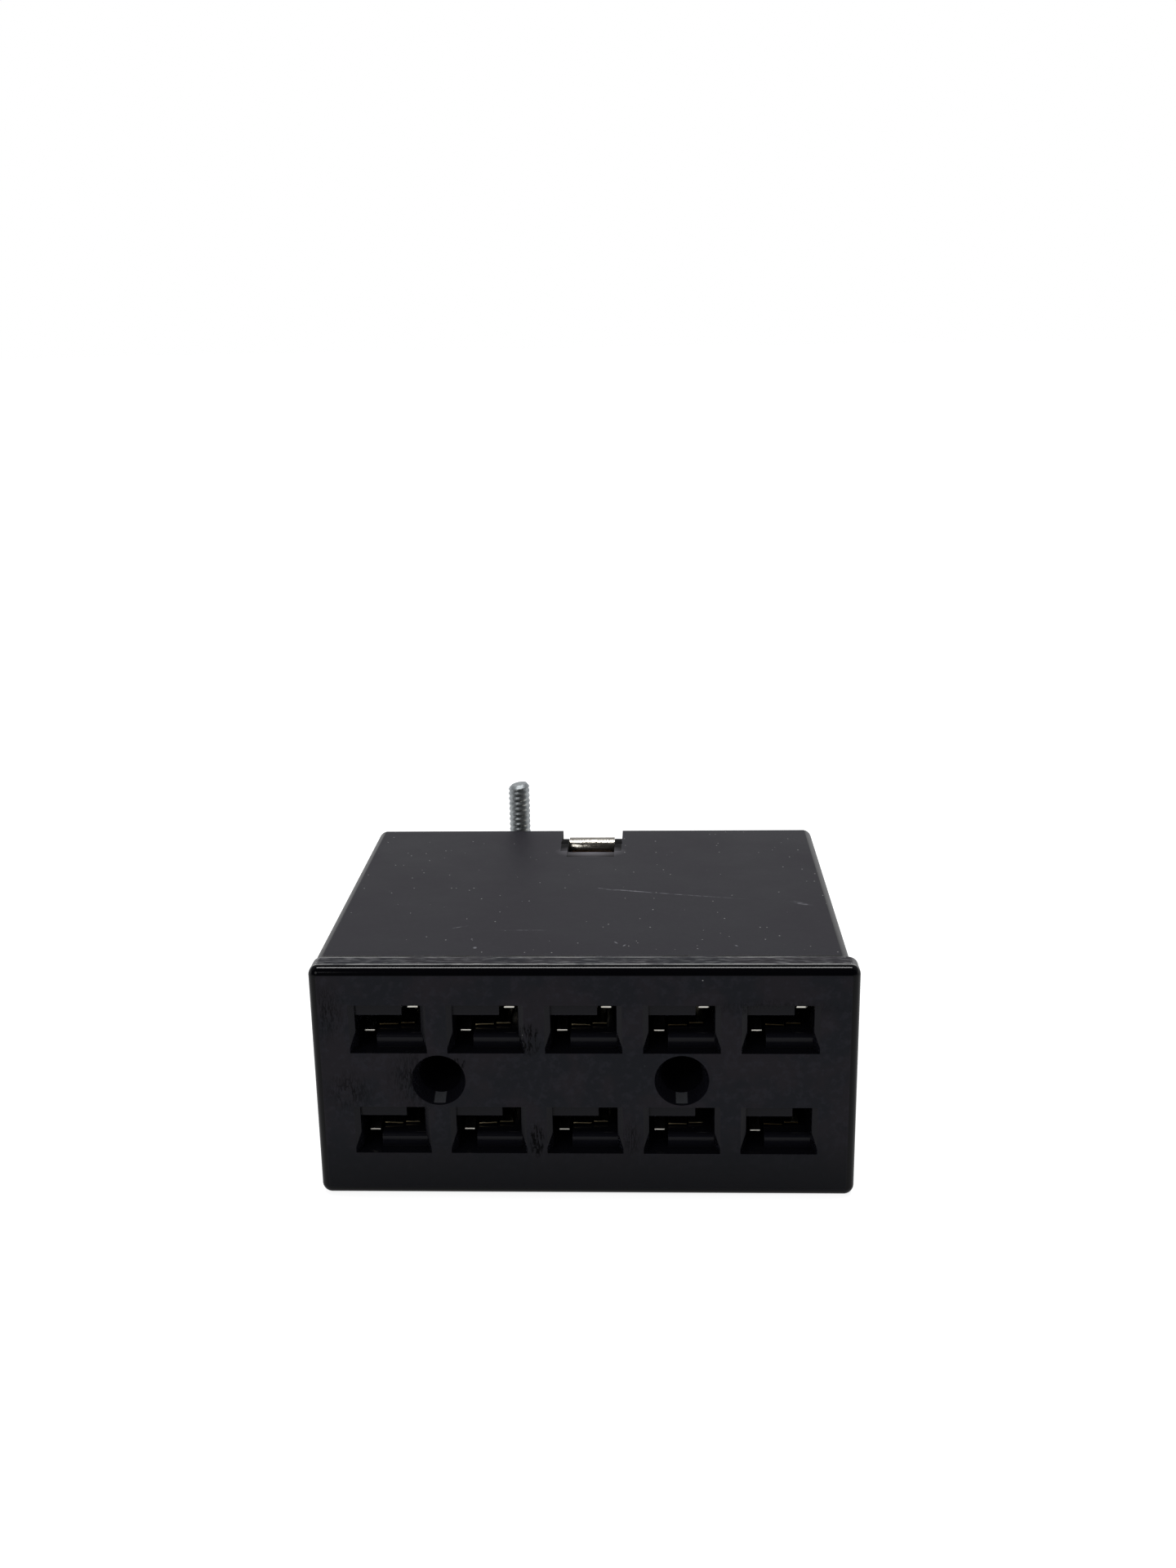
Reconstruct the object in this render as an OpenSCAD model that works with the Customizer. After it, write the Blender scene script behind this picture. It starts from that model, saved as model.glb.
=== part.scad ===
// Ten-way plug-in relay socket: a contact block with two rows of blade sockets, a wiring shell
// behind it, and a cable clamp worked by one long screw at the rear.
// X runs across the relay face, +Y runs back from the relay face, +Z is up.
// The origin is in the middle of the base that the socket stands on. The modules measure y from
// the relay face, and from_base() sets that face where it belongs.

/* [Relay face] */
// Thickness of the lip that stands in front of the shell
lip_t = 3; // [2.4:0.1:5]
// Radius of the lip's front edges and corners
lip_r = 1.1; // [0.6:0.1:1.8]
// Spacing of the blade sockets along a row
col_pitch = 10.16; // [9.9:0.02:10.6]
// Spacing of the two rows
row_pitch = 11.56; // [11.2:0.02:12.2]
// Width of the face outside the columns, on each side
side_margin = 3; // [2.6:0.1:8]
// Height of the face above the rows
top_margin = 1.08; // [0.9:0.01:4]
// Height of the face below the rows
base_margin = 2; // [1.5:0.01:4]
// How far the lip stands out past the shell on each side
lip_step = 0.38; // [0.3:0.01:0.6]
// How far the shell and the clamp sit to the left of the face's middle
shell_shift = 0.3; // [0:0.05:0.3]
// How far the lip stands up past the shell's top
lip_rise = 0.2; // [0.1:0.05:0.5]

/* [Blade sockets] */
// Width of the relay's blade
blade_w = 6.35; // [5.8:0.05:6.6]
// Thickness of the relay's blade
blade_t = 0.8; // [0.6:0.05:0.95]
// Room on each side of the blade
blade_gap = 0.25; // [0.15:0.05:0.4]
// Width of the recessed mouth
mouth_w = 8.05; // [7.6:0.05:8.6]
// Height of the recessed mouth
mouth_h = 5.4; // [4.8:0.05:5.8]
// Depth of the mouth down to the step below the slot
mouth_depth = 1.5; // [1.2:0.1:2]
// Depth of the mouth up to the step above the slot
brow_depth = 0.9; // [0.7:0.1:1.2]
// Depth of the mouth's slanted sides
flank_depth = 0.5; // [0.3:0.05:0.6]
// Height over which these sides flare to the full depth beside the lower step
flare_h = 1; // [0.6:0.1:1.2]
// Room above and below the blade in its slot
slot_gap = 0.75; // [0.65:0.05:0.9]
// Width of the upright channel over each tine
channel_w = 2; // [1.7:0.05:2.2]
// Radius of the lead-in on the step below the slot
lead_r = 0.55; // [0.3:0.05:0.7]
// Radius of the lead-in on the step above the slot
brow_r = 0.2; // [0.1:0.05:0.3]

/* [Guide holes] */
// Diameter of the bores that take the relay's guide pins
guide_d = 4.4; // [4:0.1:4.8]
// Diameter of the bore's mouth
guide_mouth_d = 5.7; // [5.3:0.1:6]
// Depth of the bore's tapered mouth
guide_lead = 1.7; // [1.2:0.1:2.2]
// Depth of the bore from the face
guide_depth = 14; // [10:0.5:15]
// Width of the flat pad in the floor of the mouth
guide_pad_w = 1.35; // [1:0.05:1.6]

/* [Contact block] */
// Depth of the block from the face to its back
block_l = 19.6; // [18.6:0.1:22]
// Depth at which the contacts' shoulders seat
seat_y = 14; // [13.4:0.1:14.6]
// Room around the block inside the shell
shell_fit = 0.1; // [0.05:0.05:0.2]

/* [Contacts] */
// Thickness of the contact strip
strip_t = 0.3; // [0.25:0.05:0.45]
// Width of each tine
tine_w = 1.1; // [0.9:0.05:1.3]
// Gap between each tine and the outer side of its channel
tine_gap = 0.55; // [0.4:0.05:0.6]
// Depth of the tines' flared tips behind the face
tip_y = 2.6; // [1.9:0.1:3]
// Height of the tip's middle from the blade's middle plane
tip_z = 1.35; // [1.2:0.05:1.6]
// Depth at which the tines grip the blade
grip_y = 5.6; // [4.8:0.1:6.5]
// Gap left between the opposed tines at the grip
grip_gap = 0.4; // [0.2:0.05:0.5]
// Depth of the middle leaf's front edge
leaf_y = 4.2; // [2.6:0.1:4.6]
// Width of the middle leaf
leaf_w = 1.95; // [1.6:0.05:2.2]
// Width of the side leaf next to it
side_leaf_w = 1.5; // [1.2:0.05:1.6]
// Width of the slit between the leaves
slit_w = 0.25; // [0.2:0.05:0.4]
// How much further forward the middle leaf reaches than the side leaf
leaf_lead = 0.3; // [0:0.05:0.6]
// Width of the shoulders
shoulder_w = 7.4; // [7.2:0.1:7.8]
// Width of the solder tag
tag_w = 3.2; // [2.6:0.1:3.8]
// Length of the solder tag behind the block
tag_l = 8; // [6:0.5:10]
// Diameter of the wire hole in the tag
tag_hole_d = 1.6; // [1.2:0.1:1.8]

/* [Rear insulator] */
// Thickness of the plate that keeps the contacts in
insulator_t = 1.8; // [1.4:0.1:2.4]
// Diameter of its two screws
plate_screw_d = 2.2; // [2:0.1:2.6]
// Length of these screws under the head
plate_screw_l = 8; // [6:0.5:9]
// Diameter of their heads
plate_head_d = 4.2; // [3.8:0.1:4.6]
// Height of their heads
plate_head_h = 1.4; // [1.2:0.1:1.8]

/* [Wiring shell] */
// Length of the shell behind the lip
shell_l = 43.8; // [41:0.1:55]
// Wall of the shell
wall = 1.8; // [1.6:0.1:2]
// Thickness of the rear wall
rear_wall = 2.4; // [2:0.1:2.8]
// Radius of the shell's outer edges
shell_r = 1.1; // [0.8:0.1:1.3]

/* [Rear notch] */
// Width of the notch at the rear edge
notch_w = 7.7; // [7.4:0.1:8.4]
// Length of the notch from the rear edge
notch_l = 9.1; // [8.8:0.1:10]
// How far the notches and the clamp sit to the left of the shell's middle
notch_shift = 0.15; // [0:0.05:0.3]
// Length of the two rounded ears in the notch
ear_l = 2.4; // [2.2:0.1:3]
// Height of the ears
ear_h = 4; // [3:0.1:5]
// Radius of the ears' outer corners
ear_r = 0.9; // [0.5:0.05:1.05]
// Room in front of the ears
ear_room = 0.4; // [0.2:0.05:0.8]
// Radius of the notch's corners at the rear edge
notch_r = 0.35; // [0.2:0.05:0.6]
// Length of the ramp in front of the notch
ramp_l = 2.4; // [2:0.1:3]
// Depth of this ramp
ramp_drop = 0.15; // [0.1:0.05:0.3]
// Gap between the ears and the strap
ear_gap = 0.05; // [0.05:0.05:0.2]
// Gap between the ears and the clamp's plate behind them
ear_back = 0.3; // [0.2:0.05:0.6]

/* [Cable clamp] */
// Thickness of the clamp's sheet steel
sheet_t = 0.8; // [0.7:0.05:0.9]
// Width of the frame's folded straps
strap_w = 5.75; // [5.5:0.05:6]
// Outer radius of the strap's fold
fold_r = 1.25; // [1.1:0.05:1.35]
// Depth of the fold's top below the shell's top
fold_drop = 0.5; // [0.3:0.1:0.8]
// Length of the fold's free leg
fold_leg = 3.6; // [2.6:0.1:4.4]
// Diameter of the cable that the clamp takes
cable_d = 9; // [7:0.5:10]
// Length of the clamp's jaws along the cable
jaw_l = 7; // [6:0.5:8]
// Length of the saddle's foot past its screw
foot_land = 3; // [2.6:0.1:3.4]
// Width of the saddle's hook
hook_w = 3.2; // [2.6:0.1:3.8]
// Length of the toe that is turned out at the hook's end
hook_toe = 1.6; // [1.2:0.1:1.8]
// Gap between the rear wall and the jaws
jaw_gap = 0.7; // [0.4:0.1:1.2]
// Height of the lower jaw's top
jaw_z = 9.5; // [8.5:0.1:10]
// Travel of the upper jaw as the screw opens it
jaw_lift = 4.2; // [3:0.1:5]
// Width of the lower jaw past the screw
jaw_land = 3.6; // [3.3:0.1:4.2]
// Height of the opening in the rear wall
window_h = 13; // [12:0.5:13.5]
// Inner radius of the bends in the sheet
bend_r = 0.5; // [0.3:0.05:0.8]
// Width of the clamp's plate on each side of its window
plate_land = 3.3; // [2.5:0.1:5]
// Depth of the corners cut off the lower jaw
corner_cut = 1.7; // [1:0.1:2.4]

/* [Clamp screw] */
// Diameter of the screw
screw_d = 2.84; // [2.6:0.02:3]
// Length of the screw under its head
screw_l = 23; // [20:0.1:25]
// Distance of the screw from the side of the saddle's arch
screw_land = 4.6; // [4.5:0.1:5]
// Diameter of the screw's head
head_d = 5.4; // [5:0.1:5.8]
// Height of the screw's head
head_h = 1.8; // [1.4:0.1:2.2]
// Width across the nut's flats
nut_w = 6.35; // [5.8:0.05:6.6]
// Thickness of the nut
nut_t = 2.4; // [2:0.1:3]
// Thickness of the washer under the head
washer_t = 0.6; // [0.5:0.1:0.8]
// Room around the screw in the jaws
screw_gap = 0.2; // [0.15:0.05:0.3]
// Running clearance between screw and nut
thread_gap = 0.04; // [0.02:0.01:0.08]

/* [Hidden] */
COLUMNS = 5;
ROWS = 2;
CONTACTS = COLUMNS * ROWS;
fine = 48;
// how far a cutting shape stands out, and how deep joined shapes run into each other
cut = 0.5;
join = 0.1;

// clearances between neighbours
leaf_room = 0.05;
shoulder_room = 0.1;
tag_room = 0.1;
screw_room = 0.1;
plate_room = 0.2;
jaw_room = 0.3;
bend_room = 0.1;
slot_room = 0.2;
toe_room = 0.4;

// small lengths of the stampings, the pockets and the screws
flare_join = 0.3;
seat_h = 1.5;
root_l = 1.6;
step_l = 0.6;
hook_inset = 0.4;
bite = 0.02;
plate_slot_w = 0.7;
clamp_slot_w = 0.9;
screw_tip = 0.5;
pad_y = 0.2;
washer_rim = 0.2;

face_w = COLUMNS * col_pitch + 2 * side_margin;
face_h = base_margin + ROWS * row_pitch + top_margin;
field_z = base_margin + ROWS * row_pitch / 2;
shell_w = face_w - 2 * lip_step;
shell_h = face_h - lip_rise;
function col_x(i) = (i % COLUMNS - (COLUMNS - 1) / 2) * col_pitch;
function row_z(i) = field_z + (i < COLUMNS ? 0.5 : -0.5) * row_pitch;

throat_w = blade_w + 2 * blade_gap;
slot_h = blade_t + 2 * slot_gap;
guide_left_x = -1.5 * col_pitch;
guide_right_x = col_pitch;
plate_screw_x = 2 * col_pitch;

rear_y = lip_t + shell_l;
inner_w = shell_w - 2 * wall;
inner_h = shell_h - 2 * wall;
skirt_w = inner_w - 2 * shell_fit;
skirt_h = inner_h - 2 * shell_fit;
shell_z = shell_h / 2;

tine_x = throat_w / 2 - tine_gap - tine_w / 2;
leaf_x = channel_w - throat_w / 2 + leaf_room;
leaf_end = leaf_x + leaf_w + slit_w + side_leaf_w;
leaf_z = (strip_t - slot_h) / 2;
grip_z = (grip_gap + strip_t) / 2;
tine_root_y = seat_y - root_l;
step_y = tine_root_y + step_l;

insulator_y = block_l;
insulator_back = insulator_y + insulator_t;

frame_back = rear_y - rear_wall;
frame_y = frame_back - sheet_t;
fold_y = frame_back - fold_r;
fold_z = shell_h - fold_drop - fold_r;
ear_w = (notch_w - strap_w) / 2 - ear_gap;
ear_y = frame_y - ear_back - ear_l;
jaw_y = rear_y + jaw_gap;
jaw_back = jaw_y + jaw_l;
jaw_mid_y = jaw_y + jaw_l / 2;
cable_z = jaw_z + cable_d / 2;
arch_r = cable_d / 2;
screw_x = arch_r + sheet_t + screw_land;
jaw_w = 2 * (screw_x + jaw_land);
window_z = jaw_z - sheet_t - bend_r - bend_room;
window_w = jaw_w + 2 * jaw_room;
bend_back_r = bend_r + sheet_t;
hook_x = screw_x - hook_inset;
hook_reach = jaw_lift + 2 * sheet_t + toe_room;
head_top = jaw_z - sheet_t - washer_t;
screw_top = head_top + screw_l;

// Moves what is drawn from the relay face to the frame of the base.
module from_base() {
    translate([0, -rear_y / 2, 0]) children();
}

// The same for the shell, which sits a little to the left of the face's middle.
module from_shell() {
    translate([-shell_shift, 0, 0]) from_base() children();
}

// The same for the clamp, which is in line with the shell's notches.
module from_notch() {
    translate([-notch_shift, 0, 0]) from_shell() children();
}

// A box between two corners.
module block(low, high) {
    translate(low) cube([for (k = [0:2]) high[k] - low[k]]);
}

// The area between a square corner at the origin and the arc that rounds it. It fills the inside
// of a bend or cuts an outside edge, and runs past both sides of the corner by the slack.
module corner(r, slack) {
    difference() {
        translate([-slack, -slack]) square(r + slack);
        translate([r, r]) circle(r = r, $fn = fine);
    }
}

// A side view, given as y and z, drawn out along X from x0 to x1.
module along_x(x0, x1) {
    translate([x0, 0, 0]) rotate([90, 0, 90]) linear_extrude(x1 - x0) children();
}

// A cylinder along Y from y0 to y1, round about x and z.
module along_y(r, y0, y1, x = 0, z = 0, r2 = undef) {
    translate([x, y0, z]) rotate([-90, 0, 0])
        cylinder(r1 = r, r2 = is_undef(r2) ? r : r2, h = y1 - y0, $fn = fine);
}

// A box whose long edges and one end's edges are rounded, as a moulding's outer skin.
// The rounded end is at y_round and the square end at y_flat.
module rounded_skin(w, h, y_round, y_flat, r, mid_z) {
    inward = y_flat > y_round ? r : -r;
    hull() {
        for (sx = [-1, 1], sz = [-1, 1]) {
            translate([sx * (w / 2 - r), y_round + inward, mid_z + sz * (h / 2 - r)])
                sphere(r = r, $fn = 32);
            translate([sx * (w / 2 - r), y_flat, mid_z + sz * (h / 2 - r)])
                rotate([90, 0, 0])
                    translate([0, 0, y_flat > y_round ? 0 : -0.02])
                        cylinder(r = r, h = 0.02, $fn = 32);
        }
    }
}

// A socket's mouth: its sides slant in to the throat at the flank's depth, and from there it runs
// straight on to its full depth.
module mouth(flank, depth) {
    m = mouth_w / 2;
    t = throat_w / 2;
    translate([0, 0, -mouth_h / 2]) linear_extrude(mouth_h)
        polygon([[-m, -cut], [m, -cut], [m, 0], [t, flank], [t, depth], [-t, depth], [-t, flank],
            [-m, 0]]);
}

// The rounded front edge of one step, cut from x0 to x1 along the slot's upper or lower side.
module slot_lead(x0, x1, side, depth, r) {
    along_x(x0, x1) translate([depth, side * slot_h / 2]) scale([1, side]) corner(r, cut);
}

// One blade socket cut through the block: a mouth, a slot that guides the blade, and two upright
// channels, one below the slot on the left and one above it on the right.
module blade_socket() {
    mouth(flank_depth, brow_depth);
    block([-throat_w / 2, 0, -mouth_h / 2], [throat_w / 2, mouth_depth, 0]);
    // the flare beside the lower step
    intersection() {
        mouth(mouth_depth, mouth_depth + join);
        along_x(-mouth_w, mouth_w)
            polygon([[-2 * cut, -mouth_h], [mouth_depth, -mouth_h],
                [mouth_depth, flare_join - flare_h - slot_h / 2], [0, flare_join - slot_h / 2],
                [-2 * cut, flare_join - slot_h / 2]]);
    }
    block([-throat_w / 2, 0, -slot_h / 2], [throat_w / 2, block_l + cut, slot_h / 2]);
    block([-throat_w / 2, 0, -mouth_h / 2], [channel_w - throat_w / 2, block_l + cut, 0]);
    block([throat_w / 2 - channel_w, 0, 0], [throat_w / 2, block_l + cut, mouth_h / 2]);
    slot_lead(-throat_w / 2, throat_w / 2 - channel_w, 1, brow_depth, brow_r);
    slot_lead(channel_w - throat_w / 2, throat_w / 2, -1, mouth_depth, lead_r);
    // the wider pocket behind, where the contact's shoulders seat
    block([-shoulder_w / 2 - shoulder_room, seat_y, -slot_h / 2],
        [shoulder_w / 2 + shoulder_room, block_l + cut, seat_h - slot_h / 2]);
}

// A guide hole with its tapered mouth.
module guide_hole(x) {
    along_y(guide_d / 2, -cut, guide_depth, x, field_z);
    flare = (guide_mouth_d - guide_d) / 2;
    along_y(guide_mouth_d / 2 + flare * cut / guide_lead, -cut, guide_lead, x, field_z, guide_d / 2);
}

// The flat pad in the floor of a guide hole's mouth, clear of the bore itself.
module guide_pad(x) {
    top = field_z - guide_d / 2;
    drop = (guide_mouth_d - guide_d) / 2;
    along_x(x - guide_pad_w / 2, x + guide_pad_w / 2)
        polygon([[pad_y, top - 0.8 * drop], [guide_lead, top - bite], [guide_lead, top - drop],
            [pad_y, top - drop - 3 * join]]);
}

module contact_block() {
    color("#222226") from_base() {
        difference() {
            union() {
                rounded_skin(face_w, face_h, 0, lip_t, lip_r, face_h / 2);
                translate([-shell_shift, 0, 0])
                    block([-skirt_w / 2, lip_t - cut, shell_z - skirt_h / 2],
                        [skirt_w / 2, block_l, shell_z + skirt_h / 2]);
            }
            for (i = [0:CONTACTS - 1]) translate([col_x(i), 0, row_z(i)]) blade_socket();
            guide_hole(guide_left_x);
            guide_hole(guide_right_x);
            for (side = [-1, 1])
                along_y(plate_screw_d / 2 + bite, insulator_back - plate_screw_l - screw_tip,
                    block_l + cut, side * plate_screw_x, field_z);
        }
        guide_pad(guide_left_x);
        guide_pad(guide_right_x);
    }
}

// Height of a tine's middle line at depth y: from the root to the grip, then out to the tip.
function ease(t) = t * t * (3 - 2 * t);
function tine_z(y, root) = y > grip_y
    ? grip_z + (root - grip_z) * ease((y - grip_y) / (tine_root_y - grip_y))
    : grip_z + (tip_z - grip_z) * pow((grip_y - y) / (grip_y - tip_y), 1.6);

// A tine's side view, as one closed outline.
function tine_line(root) = [for (k = [0:14]) let (y = tip_y + (tine_root_y - tip_y) * k / 14)
    [y, tine_z(y, root)]];
module tine(x, side, root) {
    line = tine_line(root);
    last = len(line) - 1;
    under = [for (p = line) [p[0], side * (p[1] - strip_t / 2)]];
    over = [for (k = [last:-1:0]) [line[k][0], side * (line[k][1] + strip_t / 2)]];
    along_x(x - tine_w / 2, x + tine_w / 2) polygon(concat(under, over));
}

// One stamped contact: a lower tine on the left, an upper tine on the right that steps up from
// the strip behind the blade, two flat leaves with a slit between them, shoulders, and a solder
// tag with its wire hole.
module contact(i) {
    upper = -leaf_z;
    low = leaf_z - strip_t / 2;
    high = leaf_z + strip_t / 2;
    x0 = tine_x - tine_w / 2;
    x1 = tine_x + tine_w / 2;
    color("#c9c4b4") from_base() translate([col_x(i), 0, row_z(i)]) difference() {
        union() {
            tine(-tine_x, -1, upper);
            tine(tine_x, 1, upper);
            block([leaf_x, leaf_y, low], [leaf_x + leaf_w, seat_y + join, high]);
            block([leaf_end - side_leaf_w, leaf_y + leaf_lead, low],
                [leaf_end, seat_y + join, high]);
            block([-x1, tine_root_y - bite, low], [leaf_end, seat_y + join, high]);
            // the right tine's step
            block([x0, tine_root_y - bite, upper - strip_t / 2], [x1, step_y, upper + strip_t / 2]);
            block([x0, step_y - strip_t, low], [x1, step_y, upper + strip_t / 2]);
            block([x0, step_y - strip_t, low], [x1, seat_y + join, high]);
            block([-shoulder_w / 2, seat_y, low], [shoulder_w / 2, block_l, high]);
            block([-tag_w / 2, block_l - cut, low], [tag_w / 2, block_l + tag_l, high]);
        }
        translate([0, block_l + tag_l - tag_w / 2, low - cut])
            cylinder(d = tag_hole_d, h = strip_t + 2 * cut, $fn = fine);
    }
}

module rear_insulator() {
    color("#6b4a2e") from_base() difference() {
        translate([-shell_shift, 0, 0])
            block([-skirt_w / 2, insulator_y, shell_z - skirt_h / 2],
                [skirt_w / 2, insulator_back, shell_z + skirt_h / 2]);
        for (i = [0:CONTACTS - 1]) translate([col_x(i), 0, row_z(i) + leaf_z])
            block([-tag_w / 2 - tag_room, insulator_y - cut, -strip_t / 2 - tag_room],
                [tag_w / 2 + tag_room, insulator_back + cut, strip_t / 2 + tag_room]);
        for (side = [-1, 1])
            along_y(plate_screw_d / 2 + screw_room, insulator_y - cut, insulator_back + cut,
                side * plate_screw_x, field_z);
    }
}

// A small slotted screw that holds the insulator to the block.
module insulator_screw(side) {
    x = side * plate_screw_x;
    color("#b9bcc0") from_base() difference() {
        union() {
            along_y(plate_screw_d / 2, insulator_back - plate_screw_l, insulator_back + join, x,
                field_z);
            along_y(plate_head_d / 2, insulator_back, insulator_back + plate_head_h, x, field_z);
        }
        block([x - plate_head_d, insulator_back + plate_head_h / 2, field_z - plate_slot_w / 2],
            [x + plate_head_d, insulator_back + plate_head_h + cut, field_z + plate_slot_w / 2]);
    }
}

// One ear at the side of the rear notch, with rounded corners.
module notch_ear(sx, sz) {
    x0 = notch_w / 2 - ear_w;
    x1 = notch_w / 2 + join;
    along_x(sx > 0 ? x0 : -x1, sx > 0 ? x1 : -x0) translate([ear_y, shell_z + sz * shell_h / 2])
        scale([1, -sz]) difference() {
            square([ear_l, ear_h]);
            corner(ear_r, cut);
            translate([ear_l, 0]) scale([-1, 1]) corner(ear_r, cut);
        }
}

// The notch in the shell's top or bottom wall: wide at the rear with rounded corners, narrow in
// front, with a shallow ramp before its front edge.
module rear_notch(sz) {
    front = rear_y - notch_l;
    neck_w = strap_w + 2 * ear_gap;
    outer = shell_z + sz * shell_h / 2;
    low = min(outer + sz * cut, outer - sz * (wall + cut));
    high = max(outer + sz * cut, outer - sz * (wall + cut));
    block([-neck_w / 2, front, low], [neck_w / 2, rear_y + cut, high]);
    block([-notch_w / 2, ear_y - ear_room, low], [notch_w / 2, rear_y + cut, high]);
    for (sx = [-1, 1]) translate([sx * notch_w / 2, rear_y, low]) linear_extrude(high - low)
        scale([sx, -1]) corner(notch_r, cut);
    along_x(-neck_w / 2, neck_w / 2) translate([front, outer]) scale([1, -sz])
        polygon([[-ramp_l, 0], [join, ramp_drop], [join, -cut], [-ramp_l, -cut]]);
}

module housing_shell() {
    color("#3e3d42") from_shell() {
        difference() {
            rounded_skin(shell_w, shell_h, rear_y, lip_t, shell_r, shell_z);
            block([-inner_w / 2, lip_t - cut, shell_z - inner_h / 2],
                [inner_w / 2, rear_y - rear_wall, shell_z + inner_h / 2]);
            translate([-notch_shift, 0, 0]) {
                block([-window_w / 2, rear_y - rear_wall - cut, window_z],
                    [window_w / 2, rear_y + cut, window_z + window_h]);
                rear_notch(1);
                rear_notch(-1);
            }
        }
        translate([-notch_shift, 0, 0])
            for (sx = [-1, 1], sz = [-1, 1]) notch_ear(sx, sz);
    }
}

// The hairpin fold at the top or bottom end of the clamp frame's strap.
module strap_fold(sz) {
    mid_z = shell_z + sz * (fold_z - shell_z);
    leg_z = mid_z - sz * fold_leg;
    difference() {
        translate([-strap_w / 2, fold_y, mid_z]) rotate([0, 90, 0])
            cylinder(r = fold_r, h = strap_w, $fn = fine);
        translate([-strap_w, fold_y, mid_z]) rotate([0, 90, 0])
            cylinder(r = fold_r - sheet_t, h = 2 * strap_w, $fn = fine);
        block([-strap_w, fold_y - 2 * fold_r, sz > 0 ? mid_z - 2 * fold_r : mid_z],
            [strap_w, fold_y + 2 * fold_r, sz > 0 ? mid_z : mid_z + 2 * fold_r]);
    }
    block([-strap_w / 2, fold_y - fold_r, min(leg_z, mid_z)],
        [strap_w / 2, fold_y - fold_r + sheet_t, max(leg_z, mid_z)]);
    block([-strap_w / 2, frame_y, min(leg_z, mid_z)], [strap_w / 2, frame_back, max(leg_z, mid_z)]);
}

// The clamp frame: a plate behind the shell's rear wall, folded straps in the two notches, and
// the lower jaw, which is the tongue lanced from the plate's window and bent to the rear.
module clamp_frame() {
    plate_h = inner_h - 2 * plate_room;
    plate_w = jaw_w + 2 * plate_land;
    color("#c8c8c4") from_notch() difference() {
        union() {
            block([-plate_w / 2, frame_y, shell_z - plate_h / 2],
                [plate_w / 2, frame_back, shell_z + plate_h / 2]);
            strap_fold(1);
            strap_fold(-1);
            block([-jaw_w / 2, frame_y, jaw_z - sheet_t], [jaw_w / 2, jaw_back, jaw_z]);
            along_x(-jaw_w / 2, jaw_w / 2) translate([frame_back, jaw_z - sheet_t])
                scale([1, -1]) corner(bend_r, join);
        }
        block([-window_w / 2, frame_y - cut, jaw_z], [window_w / 2, frame_back + cut,
            window_z + window_h]);
        along_x(-window_w / 2, window_w / 2) translate([frame_y, jaw_z])
            scale([1, -1]) corner(bend_back_r, cut);
        translate([-screw_x, jaw_mid_y, jaw_z - sheet_t - cut])
            cylinder(r = screw_d / 2 + screw_gap, h = sheet_t + 2 * cut, $fn = fine);
        block([hook_x - sheet_t / 2 - slot_room, jaw_mid_y - hook_w / 2 - slot_room,
            jaw_z - sheet_t - cut], [hook_x + sheet_t / 2 + slot_room,
            jaw_mid_y + hook_w / 2 + slot_room, jaw_z + cut]);
        for (sx = [-1, 1]) translate([sx * jaw_w / 2, jaw_back, jaw_z - sheet_t - cut])
            linear_extrude(sheet_t + 2 * cut) scale([sx, 1])
                polygon([[-corner_cut - cut, cut], [cut, cut], [cut, -corner_cut - cut]]);
    }
}

// A front view, given as x and z, drawn out along Y over the jaws.
module along_jaws() {
    translate([0, jaw_back, 0]) rotate([90, 0, 0]) linear_extrude(jaw_l) children();
}

// The upper jaw: two flat feet, an arch over the cable, and a hook that slides in the lower
// jaw's slot.
module clamp_saddle() {
    outer = arch_r + sheet_t;
    foot_end = screw_x + foot_land;
    hook_end = hook_x + sheet_t / 2;
    color("#c8c8c4") from_notch() difference() {
        union() {
            intersection() {
                along_y(outer, jaw_y, jaw_back, 0, cable_z);
                block([-outer, jaw_y, cable_z], [outer, jaw_back, cable_z + outer]);
            }
            block([-outer, jaw_y, jaw_z], [outer, jaw_back, cable_z]);
            block([-foot_end, jaw_y, jaw_z], [-arch_r, jaw_back, jaw_z + sheet_t]);
            block([arch_r, jaw_y, jaw_z], [hook_end, jaw_back, jaw_z + sheet_t]);
            for (sx = [-1, 1]) along_jaws() translate([sx * outer, jaw_z + sheet_t])
                scale([sx, 1]) corner(bend_r, join);
            block([hook_end - sheet_t, jaw_mid_y - hook_w / 2, jaw_z - hook_reach],
                [hook_end, jaw_mid_y + hook_w / 2, jaw_z + sheet_t]);
            block([hook_end - sheet_t, jaw_mid_y - hook_w / 2, jaw_z - hook_reach],
                [hook_end + hook_toe, jaw_mid_y + hook_w / 2, jaw_z - hook_reach + sheet_t]);
        }
        along_y(arch_r, jaw_y - cut, jaw_back + cut, 0, cable_z);
        block([-arch_r, jaw_y - cut, jaw_z - cut], [arch_r, jaw_back + cut, cable_z]);
        for (sx = [-1, 1]) along_jaws() translate([sx * arch_r, jaw_z])
            scale([sx, 1]) corner(bend_back_r, cut);
        translate([-screw_x, jaw_mid_y, jaw_z - cut])
            cylinder(r = screw_d / 2 + screw_gap, h = sheet_t + 2 * cut, $fn = fine);
    }
}

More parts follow.
